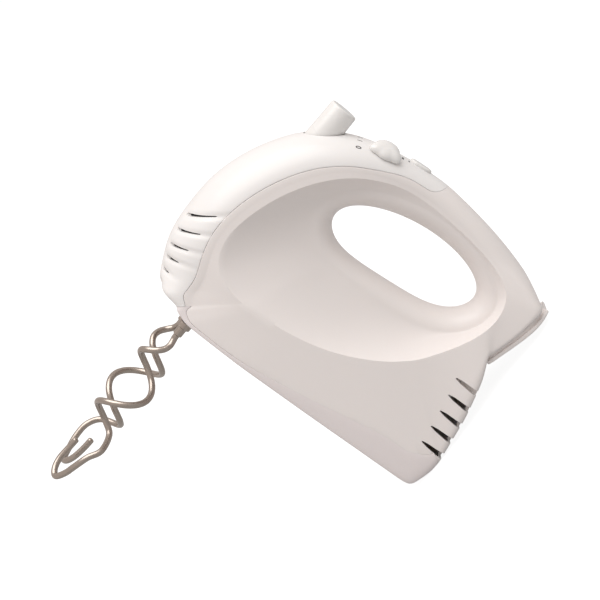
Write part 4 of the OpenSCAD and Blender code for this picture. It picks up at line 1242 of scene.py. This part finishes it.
@dataclass
class Controls:
    """The eject button, the speed slider with its printed scale, and the turbo button.

    A spot is a row and a share, and lies on the ridge. A mark is its text, its spot, its arc
    from the ridge towards the left side, and its size.
    """

    form: BodyForm
    eject_z: float = 167.7
    eject_r: float = 9.3
    eject_top: float = 148
    eject_low: float = 112
    knob_spot: tuple[int, float] = (5, 0.3)
    leaf_r: float = 7.8
    leaf_lobe: float = 2.8
    leaf_tip: float = 24
    leaf_corner: float = 149
    leaf_shift: float = 1.6
    knob_rise: float = 4.8
    swing: float = 18
    swing_r: float = 25
    swing_gap: float = 1.05
    shutter_at: float = 4.2
    stem: tuple[float, float] = (3, 3.4)
    turbo_spot: tuple[int, float] = (4, 0.25)
    turbo_len: float = 14
    turbo_w: float = 9.5
    turbo_rise: float = 1.5
    button_gap: float = 0.4
    mark_bold: float = 0.12
    mark_over: float = 0.03
    mark_t: float = 0.04
    marks: tuple[tuple[str, tuple[int, float], float, float], ...] = (
        ("0", (5, 0.84), 15.3, 4.4), ("1", (5, 0.85), 8.2, 4), ("2", (5, 0.84), 1.6, 4),
        ("-", (4, 0.86), 6, 11), ("-", (4, 0.7), 5.5, 7))
    skirt_at: float = -5.3
    eject_hole: tuple[float, float] = (108, 160)
    slot_hole: tuple[float, float] = (-5, 9)
    turbo_hole: tuple[float, float] = (-5, 6)

    def frame_at(self, spot: tuple[int, float]) -> Matrix:
        """Gives the ridge frame of a spot."""
        return self.form.ridge(spot[0] + spot[1])

    def swung_frame(self, spot: tuple[int, float], angle: float) -> Matrix:
        """Gives the ridge frame of a spot, turned about the slider's axis inside the handle.

        Args:
            spot: A spot on the ridge.
            angle: How far it turns towards the left side, in radians.

        Returns:
            A matrix in metres.
        """
        lift = Matrix.Translation((0, 0, self.swing_r * MM))
        return self.frame_at(spot) @ lift.inverted() @ Matrix.Rotation(angle, 4, "X") @ lift

    def slot_outline(self) -> list[tuple[float, float]]:
        """Gives the outline of the slider's slot across the ridge.

        Returns:
            Four corners in order.
        """
        half = self.stem[0] / 2 + self.button_gap
        swing = self.swing_r * math.sin(math.radians(self.swing))
        reach = swing + self.stem[1] / 2 + self.button_gap
        return [(-half, -reach), (half, -reach), (half, reach), (-half, reach)]

    def cutters(self) -> list[bpy.types.Object]:
        """Makes the cutters for the three holes in the top cover.

        Returns:
            The cutters for the eject button, the slider's slot and the turbo button.
        """
        gap, cut = self.button_gap, Housing.hole_cutter
        turbo = stadium(self.turbo_len + 2 * gap, self.turbo_w + 2 * gap)
        return [
            cut(self.form.bore(0, self.eject_z), circle(self.eject_r + gap, 64), *self.eject_hole),
            cut(self.frame_at(self.knob_spot), self.slot_outline(), *self.slot_hole),
            cut(self.frame_at(self.turbo_spot), turbo, *self.turbo_hole),
        ]

    def eject_button(self) -> None:
        """Builds the eject button: a slightly tapered cap with a round edge."""
        bevel = {"width": 1.1 * MM, "segments": 5, **SHARP_ONLY}
        cap = primitive(
            "eject_cap", bpy.ops.mesh.primitive_cone_add, bevel, vertices=96,
            radius1=self.eject_r * MM, radius2=(self.eject_r - 0.8) * MM,
            depth=(self.eject_top - self.eject_low) * MM)
        middle = Matrix.Translation((0, 0, (self.eject_top + self.eject_low) / 2 * MM))
        settle(cap, self.form.bore(0, self.eject_z) @ middle)
        smooth(cap)
        dress(cap, Finish.BUTTON, "eject", "eject_button")

    def leaf(self, angle: float) -> float:
        """Gives the radius of the slider's leaf, which has a tip and a rear corner.

        Args:
            angle: Degrees from the handle's line towards the left side.

        Returns:
            The radius in millimetres.
        """
        r = self.leaf_r
        for corner in (self.leaf_tip, self.leaf_corner):
            d = (angle - corner + 180) % 360 - 180
            r += self.leaf_lobe * math.cos(math.radians(1.8 * d)) ** 4 if abs(d) < 50 else 0
        return r

    def swung(self, a: float, b: float, c: float) -> tuple[float, float, float]:
        """Gives a point of the slider in its ridge frame.

        Args:
            a: Distance towards the nose.
            b: Arc towards the left side, from the slider's middle.
            c: Height over the ridge.

        Returns:
            The point in millimetres.
        """
        q = math.radians(self.swing) + (b + self.leaf_shift) / self.swing_r
        r = self.swing_r + c
        return -a, -r * math.sin(q), r * math.cos(q) - self.swing_r

    def speed_slider(self) -> None:
        """Builds the speed slider: a domed leaf that swings over the ridge, on a short stem."""
        low, flank = self.swing_gap, self.swing_gap + 0.9
        profile = [(0.5, low), (0.93, low), (0.975, low + 0.12), (1.0, low + 0.45), (1.0, flank)]
        profile += [(max(0.03, math.cos(q) ** 0.85), flank + (self.knob_rise - 0.9) * math.sin(q))
                    for q in np.radians(np.arange(7.5, 91, 7.5))]
        angles = np.arange(0, 360, 360 / (60 * FINE))
        rim = [(self.leaf(a) * math.cos(math.radians(a)), self.leaf(a) * math.sin(math.radians(a)))
               for a in angles]
        levels = [[self.swung(share * a, share * b, c) for a, b in rim] for share, c in profile]
        leaf = lofted("speed_leaf", np.array(levels), upward=True)
        settle(leaf, self.frame_at(self.knob_spot))
        smooth(leaf, 40)
        dress(leaf, Finish.BUTTON, "knob", "speed_knob")
        depth = self.shutter_at + self.swing_gap + 1
        stem = primitive(
            "speed_stem", bpy.ops.mesh.primitive_cube_add, {"width": 0.3 * MM, "segments": 3},
            size=1, scale=(self.stem[0] * MM, self.stem[1] * MM, depth * MM))
        middle = Matrix.Translation((0, 0, (depth / 2 - self.shutter_at) * MM))
        settle(stem, self.swung_frame(self.knob_spot, math.radians(self.swing)) @ middle)
        smooth(stem)
        dress(stem, Finish.BUTTON, "knob")

    def turbo_button(self) -> None:
        """Builds the turbo button: a long cap with a softly rounded rim."""
        levels = [(0.0, self.skirt_at)]
        for q in np.radians(np.arange(0, 91, 15)):
            levels.append((1.4 * (1 - math.cos(q)), self.turbo_rise - 1.0 + math.sin(q)))
        button = lofted("turbo_cap", np.array([
            [(x, y, z) for x, y in stadium(self.turbo_len - 2 * inset, self.turbo_w - 2 * inset)]
            for inset, z in levels]), upward=True)
        settle(button, self.frame_at(self.turbo_spot))
        smooth(button, 50)
        dress(button, Finish.BUTTON, "turbo", "turbo_button")

    def printed(
            self, text: str, spot: tuple[int, float], arc: float, size: float,
            cover: bpy.types.Object) -> None:
        """Prints a mark on the top cover.

        Args:
            text: The mark.
            spot: Its place along the ridge.
            arc: How far it lies from the ridge towards the left side.
            size: Its height in millimetres.
            cover: The top cover.
        """
        deselect()
        bpy.ops.object.text_add()
        mark = bpy.context.object
        mark.data.body = text
        mark.data.size = size * MM
        mark.data.offset = self.mark_bold * MM
        mark.data.align_x, mark.data.align_y = "CENTER", "CENTER"
        bpy.ops.object.convert(target="MESH")
        mark = bpy.context.object
        label = text if text.isalnum() else "bar"
        mark.name = f"scale_mark_{label}_{spot[0]}_{round(spot[1] * 100)}_{round(arc) + 20}"
        upright = Matrix.Rotation(math.pi / 2, 4, "Z")
        settle(mark, self.swung_frame(spot, arc / self.swing_r) @ upright)
        merge(mark)
        apply_modifier(
            mark, "SHRINKWRAP", target=cover, offset=self.mark_over * MM, wrap_mode="ABOVE_SURFACE")
        apply_modifier(mark, "SOLIDIFY", thickness=self.mark_t * MM, offset=0)
        dress(mark, Finish.PRINT, "housing")

    def build(self) -> None:
        """Builds and dresses the controls."""
        cover = bpy.data.objects["top_cover_shell"]
        for mark in self.marks:
            self.printed(*mark, cover)
        self.eject_button()
        self.speed_slider()
        self.turbo_button()


# ---------------------------------------------------------------- hooks


@dataclass
class Hook:
    """A dough hook of round wire, with its shank, sleeve and collar.

    Distances such as first, full and turn_end are counted downwards from the base.
    """

    side: int
    wire_r: float = 1.95
    shank_r: float = 2.6
    coil_r: float = 10.9
    coil_pitch: float = 40.7
    reach: float = 125.5
    shank_in: float = 38
    first: float = 12.2
    full: float = 34.7
    turn_end: float = 86.6
    phase_at: float = 27.7
    turned: float = 27.6
    facets: int = 28
    shank_facets: int = 48
    sleeve: float = 0.25
    collar: tuple[float, float] = (-6, -2)
    loop: tuple[tuple[float, float, float], ...] = (
        (6.3, -7.9, -5.6), (13.4, -9, -0.4), (21.9, -7.4, 1.4), (30, -4.3, 1.8), (35.9, 0.2, 2.6),
        (34, 5.2, 3.2), (28.4, 8.4, 3), (21, 9.2, 2.2), (14.4, 9.2, 1.8))

    def coil(self, s: float) -> np.ndarray:
        """Gives a point of the coil's centre line.

        Args:
            s: Distance below the base, in millimetres.

        Returns:
            The point in the hook's own frame.
        """
        t = min(max((s - self.first) / (self.full - self.first), 0), 1)
        radius = self.coil_r * t * t * (3 - 2 * t)
        turn = 2 * math.pi * (s - self.phase_at) / self.coil_pitch
        return np.array((-s, radius * math.sin(turn), radius * math.cos(turn)))

    def path(self) -> np.ndarray:
        """Gives the wire's centre line: a coil, and a loop turned back at its end.

        Returns:
            Points in the hook's own frame, from the shank to the loop's end.
        """
        stretch = (self.reach - self.wire_r - self.turn_end) / max(s for s, _, _ in self.loop)
        points = [(1.0, 0, 0), (-self.first, 0, 0)]
        points += [self.coil(s) for s in np.arange(self.first + 3, self.turn_end - 1, 3.2)]
        points += [self.coil(self.turn_end)]
        points += [(-self.turn_end - s * stretch, y, z) for s, y, z in self.loop]
        points = np.array(points)
        last = len(points) - 1
        spans = [points[np.clip(np.arange(last) + k, 0, last)] for k in (-1, 0, 1, 2)]
        rows = [spline(spans, t) for t in np.arange(0, 1, 0.125)]
        line = np.vstack([np.stack(rows, axis=1).reshape(-1, 3), points[-1]])
        line = line * (1, -self.side, 1)
        cos, sin = math.cos(math.radians(self.turned)), math.sin(math.radians(self.turned))
        return line @ np.array([[1, 0, 0], [0, cos, sin], [0, -sin, cos]])

    def tube(self, name: str, line: np.ndarray, radius: float) -> bpy.types.Object:
        """Sweeps a circle along a line, with its end rounded.

        Args:
            name: The object's name.
            line: Points in millimetres.
            radius: The wire's radius.

        Returns:
            The closed tube.
        """
        tangent = np.gradient(line, axis=0)
        tangent /= np.linalg.norm(tangent, axis=1)[:, None]
        normal = np.cross(tangent[0], (0, 1, 0.3))
        turns = np.linspace(0, 2 * math.pi, self.facets, endpoint=False)[:, None]
        rings = []
        for point, t in zip(line, tangent):
            normal = normal - t * np.dot(normal, t)
            normal /= np.linalg.norm(normal)
            other = np.cross(t, normal)
            rings.append(point + radius * (np.cos(turns) * normal + np.sin(turns) * other))
        for k in range(1, 5):
            q = math.pi / 2 * k / 4.6
            centre = line[-1] + radius * math.sin(q) * 0.6 * tangent[-1]
            rings.append(centre + (rings[len(line) - 1] - line[-1]) * math.cos(q))
        return lofted(name, np.array(rings), distance=0.000001)

    def build(self) -> None:
        """Builds and dresses the hook."""
        label = "left" if self.side < 0 else "right"
        place = Matrix.Translation((FRAME_X * MM, self.side * SPINDLE_Y * MM, SPINDLE_Z * MM))
        wire = self.tube(f"hook_wire_{label}", self.path(), self.wire_r)
        settle(wire, place)
        smooth(wire, 60)
        dress(wire, Finish.CHROME, f"hook_{label}", f"hook_{label}")
        r, sleeve, end = self.shank_r, self.shank_r + self.sleeve, 0.6 - self.first
        low, high = self.collar
        lathe = (
            (end, 0), (end, sleeve - 0.5), (end + 0.5, sleeve), (low, sleeve), (low, r + 1.2),
            (low + 0.4, r + 1.6), (high - 0.4, r + 1.6), (high, r + 1.2), (high, r),
            (self.shank_in - 1.2, r), (self.shank_in, r - 1.2), (self.shank_in, 0))
        shank = lofted(f"hook_shank_{label}", np.array(
            [[(x, y, z) for y, z in circle(radius, self.shank_facets)] for x, radius in lathe]),
            upward=True)
        settle(shank, place)
        smooth(shank)
        dress(shank, Finish.CHROME, f"hook_{label}")


# ---------------------------------------------------------------- gland and heel


@dataclass
class CordGland:
    """The cord's rubber gland, which ends just outside the arch, with a flange inside the wall."""

    place: float = 77
    radius: float = 5.5
    bore: float = 3.4
    low: float = 9
    seat: float = 15.8
    high: float = 21.8
    flange_grow: float = 2.2
    flange_t: float = 2
    rounding: float = 0.5

    def bar(self, name: str, radius: float, low: float, high: float) -> bpy.types.Object:
        """Adds a round bar on the gland's axis.

        Args:
            name: The bar's name.
            radius: Its radius in millimetres.
            low: Its lower end.
            high: Its upper end.

        Returns:
            The bar.
        """
        bevel = {"width": self.rounding * MM, "segments": 3, **SHARP_ONLY}
        bar = primitive(
            name, bpy.ops.mesh.primitive_cylinder_add, bevel, vertices=64, radius=radius * MM,
            depth=(high - low) * MM)
        settle(bar, Matrix.Translation(((self.place + FRAME_X) * MM, 0, (low + high) / 2 * MM)))
        return bar

    def build(self) -> None:
        """Builds and dresses the gland."""
        top = self.seat + self.flange_t
        gland = self.bar("cord_boot", self.radius, self.low, self.high)
        flange = self.bar("boot_flange", self.radius + self.flange_grow, self.seat, top)
        subtract(gland, [self.bar("boot_bore", self.bore, self.low - 1, self.high + 1)])
        subtract(flange, [self.bar("flange_bore", self.radius - 0.5, self.seat - 1, top + 1)])
        for piece, nodes in ((gland, ("cord_gland",)), (flange, ())):
            smooth(piece)
            dress(piece, Finish.RUBBER, "housing", *nodes)


@dataclass
class Heel:
    """The heel plate, which follows the housing's curved heel and has a stepped edge.

    The line holds heights and z from the plate's lower end to its far end. The corners are the
    radii at these ends, and the widths are the half widths there.
    """

    thick: float = 4.5
    lip: float = 1.6
    widths: tuple[float, float] = (21.2, 17.0)
    corners: tuple[float, float] = (3.0, 15.0)
    line: tuple[tuple[float, float], ...] = (
        (91.6, 16.7), (97, 15.2), (104.5, 13.0), (113.5, 10.6), (122, 8.9), (127, 8.1),
        (131.8, 7.9))
    stations: int = 90

    def __post_init__(self) -> None:
        """Works out how far along the plate each point of its line lies."""
        self.knots = np.array(self.line)
        steps = np.linalg.norm(np.diff(self.knots, axis=0), axis=1)
        self.reach = np.concatenate([[0], np.cumsum(steps)])
        self.length = float(self.reach[-1])

    def half_width(self, at: float, grow: float) -> float:
        """Gives the plate's half width, with round corners at both ends.

        Args:
            at: Distance along the plate from its lower end, in millimetres.
            grow: How far it stands out beyond the housing.

        Returns:
            The half width in millimetres.
        """
        full = float(np.interp(at, (0, self.length), self.widths)) + grow
        for gap, radius in zip((at + grow, self.length - at + grow), self.corners):
            dip = min(max(1 - gap / radius, 0), 1)
            full -= radius * (1 - math.sqrt(1 - dip**2))
        return full

    def section(self) -> list[tuple[float, float]]:
        """Gives the stepped edge.

        Returns:
            Steps outwards and depths below the housing, in millimetres.
        """
        t, lip = self.thick, self.lip
        return [(0.3, 0.0), (0.3, t * 0.42), (lip - 0.45, t * 0.44), (lip, t * 0.52),
                (lip, t * 0.78), (lip - 0.35, t * 0.93), (lip - 1.1, t)]

    def build(self) -> None:
        """Builds and dresses the plate."""
        at = self.length * (1 - np.cos(np.linspace(0, math.pi, self.stations))) / 2
        middle = np.column_stack([np.interp(at, self.reach, self.knots[:, k]) for k in (0, 1)])
        for _ in range(6):
            middle[1:-1] = (middle[:-2] + 2 * middle[1:-1] + middle[2:]) / 4
        along = np.gradient(middle, axis=0)
        along /= np.linalg.norm(along, axis=1)[:, None]
        down = np.column_stack([along[:, 1], -along[:, 0]])
        edge = self.section()
        outline = [(-1, *step) for step in edge] + [(1, *step) for step in edge[::-1]]
        points = []
        for i, place in enumerate(at):
            share = 2 * place / self.length - 1
            for side, grow, depth in outline:
                shift = grow * (1 if share > 0 else -1) * abs(share) ** 12
                h, z = middle[i] + down[i] * depth + along[i] * shift
                points.append((h + FRAME_X, side * self.half_width(place, grow), max(z, 0.0)))
        n, count = len(outline), len(points)
        faces = [(i * n + j, i * n + (j + 1) % n, (i + 1) * n + (j + 1) % n, (i + 1) * n + j)
                 for i in range(self.stations - 1) for j in range(n)]
        faces += [tuple(range(n)), tuple(range(count - 1, count - n - 1, -1))]
        plate = mesh_object("heel_sole", np.array(points), faces)
        merge(plate)
        smooth(plate, 30)
        dress(plate, Finish.WHITE, "housing", "heel_plate")


# ---------------------------------------------------------------- kept pieces

KEPT = {
    Finish.STEEL: (
        "housing_screws", "base_screws", "board_screws", "gear_bracket", "rear_bracket",
        "motor_bolts", "motor_shaft", "thrust_washers", "brush_springs", "eject_spring",
        "turbo_spring", "spindle_left", "spindle_right", "ejector_pin_left", "ejector_pin_right"),
    Finish.BRONZE: (
        "lower_bushes", "upper_bushes", "front_bearing", "middle_bearing", "rear_bearing",
        "brush_holders"),
    Finish.CORE: ("stator_core", "rotor_core"),
    Finish.COPPER: ("field_coils", "rotor_winding", "commutator"),
    Finish.DARK: ("carbon_brushes", "speed_switch", "turbo_switch", "fan"),
    Finish.NYLON: ("worm_wheel_left", "worm_wheel_right", "ejector_frame", "speed_cam"),
    Finish.BOARD: ("switch_board",),
}


def dress_kept() -> None:
    """Gives each CAD piece that stays its finish."""
    for finish, names in KEPT.items():
        for name in names:
            for slot in bpy.data.objects[name].material_slots:
                slot.material = Library.material(finish)
            LOG.info("%s: %s", name, finish.name)


# ---------------------------------------------------------------- studio


@dataclass
class Studio:
    """Pale floor, soft lights and the camera."""

    azimuth: float = 11.2
    elevation: float = 7.9
    roll: float = 51.6
    distance: float = 1.0
    lens: float = 103.44
    sensor: float = 36
    target: tuple[float, float, float] = (0.03287, 0.0, 0.1173)
    backdrop: float = 1.02
    glow: float = 0.68
    glow_colour: tuple[float, float, float] = (1, 0.93, 0.9)
    floor_size: float = 12
    paper: float = 0.25
    paper_glow: float = 0.88
    paper_light: float = 0.22
    key: float = 1.85
    key_from: tuple[float, float, float] = (0.42, -0.28, 0.863)
    key_spread: float = 60

    def camera(self) -> None:
        """Places the camera, which is rolled as the mixer is shown lying over its hooks."""
        az, el, roll = (math.radians(v) for v in (self.azimuth, self.elevation, self.roll))
        side = Vector((math.cos(az), math.sin(az), 0))
        back = Vector((math.sin(az) * math.cos(el), -math.cos(az) * math.cos(el), math.sin(el)))
        up = back.cross(side)
        right = math.cos(roll) * side - math.sin(roll) * up
        top = math.sin(roll) * side + math.cos(roll) * up
        data = bpy.data.cameras.new("camera")
        data.lens = self.lens
        data.sensor_width = self.sensor
        camera = bpy.data.objects.new("camera", data)
        place = Vector(self.target) + back * self.distance
        camera.matrix_world = Matrix((
            (right.x, top.x, back.x, place.x), (right.y, top.y, back.y, place.y),
            (right.z, top.z, back.z, place.z), (0, 0, 0, 1)))
        bpy.context.scene.collection.objects.link(camera)
        bpy.context.scene.camera = camera

    def key_light(self) -> None:
        """Adds the key: a sun whose wide disc makes soft shadows."""
        data = bpy.data.lights.new("key", "SUN")
        data.angle = math.radians(self.key_spread)
        data.energy = self.key
        lamp = bpy.data.objects.new("key", data)
        lamp.matrix_world = Vector(self.key_from).to_track_quat("Z", "Y").to_matrix().to_4x4()
        bpy.context.scene.collection.objects.link(lamp)

    def surroundings(self) -> None:
        """Builds the white room: its backdrop is brighter than the light that it gives."""
        world = bpy.data.worlds.new("studio")
        world.use_nodes = True
        nodes = Nodes(world.node_tree)
        backdrop = world.node_tree.nodes["Background"]
        backdrop.inputs["Color"].default_value = (1, 1, 1, 1)
        backdrop.inputs["Strength"].default_value = self.backdrop
        glow = nodes.add("ShaderNodeBackground", Strength=self.glow)
        glow.inputs["Color"].default_value = (*self.glow_colour, 1)
        path = nodes.add("ShaderNodeLightPath")
        mix = nodes.add("ShaderNodeMixShader")
        nodes.link(path.outputs["Is Camera Ray"], mix.inputs[0])
        nodes.link(glow.outputs[0], mix.inputs[1])
        nodes.link(backdrop.outputs[0], mix.inputs[2])
        nodes.link(mix.outputs[0], world.node_tree.nodes["World Output"].inputs["Surface"])
        bpy.context.scene.world = world
        bpy.context.scene.view_settings.view_transform = "Standard"

    def floor(self) -> None:
        """Builds the paper floor, which looks brighter than the light that it gives."""
        deselect()
        bpy.ops.mesh.primitive_plane_add(size=self.floor_size)
        floor = bpy.context.object
        floor.name = "floor"
        paper = bpy.data.materials.new("paper")
        paper.use_nodes = True
        shader = paper.node_tree.nodes["Principled BSDF"]
        shader.inputs["Base Color"].default_value = (self.paper, self.paper, self.paper, 1)
        shader.inputs["Roughness"].default_value = 0.95
        shader.inputs["Specular IOR Level"].default_value = 0.1
        shader.inputs["Emission Color"].default_value = (1, 1, 1, 1)
        nodes = Nodes(paper.node_tree)
        path = nodes.add("ShaderNodeLightPath")
        seen = nodes.add("ShaderNodeMapRange", To_Min=self.paper_light, To_Max=self.paper_glow)
        nodes.link(path.outputs["Is Camera Ray"], seen.inputs["Value"])
        nodes.link(seen.outputs["Result"], shader.inputs["Emission Strength"])
        floor.data.materials.append(paper)

    def build(self) -> None:
        """Builds the floor, the surroundings, the key and the camera."""
        self.floor()
        self.surroundings()
        self.key_light()
        self.camera()


# ---------------------------------------------------------------- the mixer


@dataclass(frozen=True)
class Outlets:
    """The two round holes of the base cover that the hooks come out of."""

    radius: float = 7
    depth: tuple[float, float] = (-5, 8)

    def cutters(self) -> list[bpy.types.Object]:
        """Makes the cutters of the two holes.

        Returns:
            The cutters, left and right.
        """
        ring = circle(self.radius, 48)
        return [Housing.hole_cutter(BodyForm.bore(side * SPINDLE_Y, SPINDLE_Z), ring, *self.depth)
                for side in SIDES]


def main() -> None:
    """Builds the mixer in order."""
    logging.basicConfig(level=logging.INFO, format="%(message)s")
    form = BodyForm()
    controls = Controls(form)
    Housing(form).build({"top": controls.cutters(), "base": Outlets().cutters()})
    controls.build()
    for side in SIDES:
        Hook(side).build()
    Heel().build()
    CordGland().build()
    dress_kept()
    Studio().build()


if __name__ == "__main__":
    main()
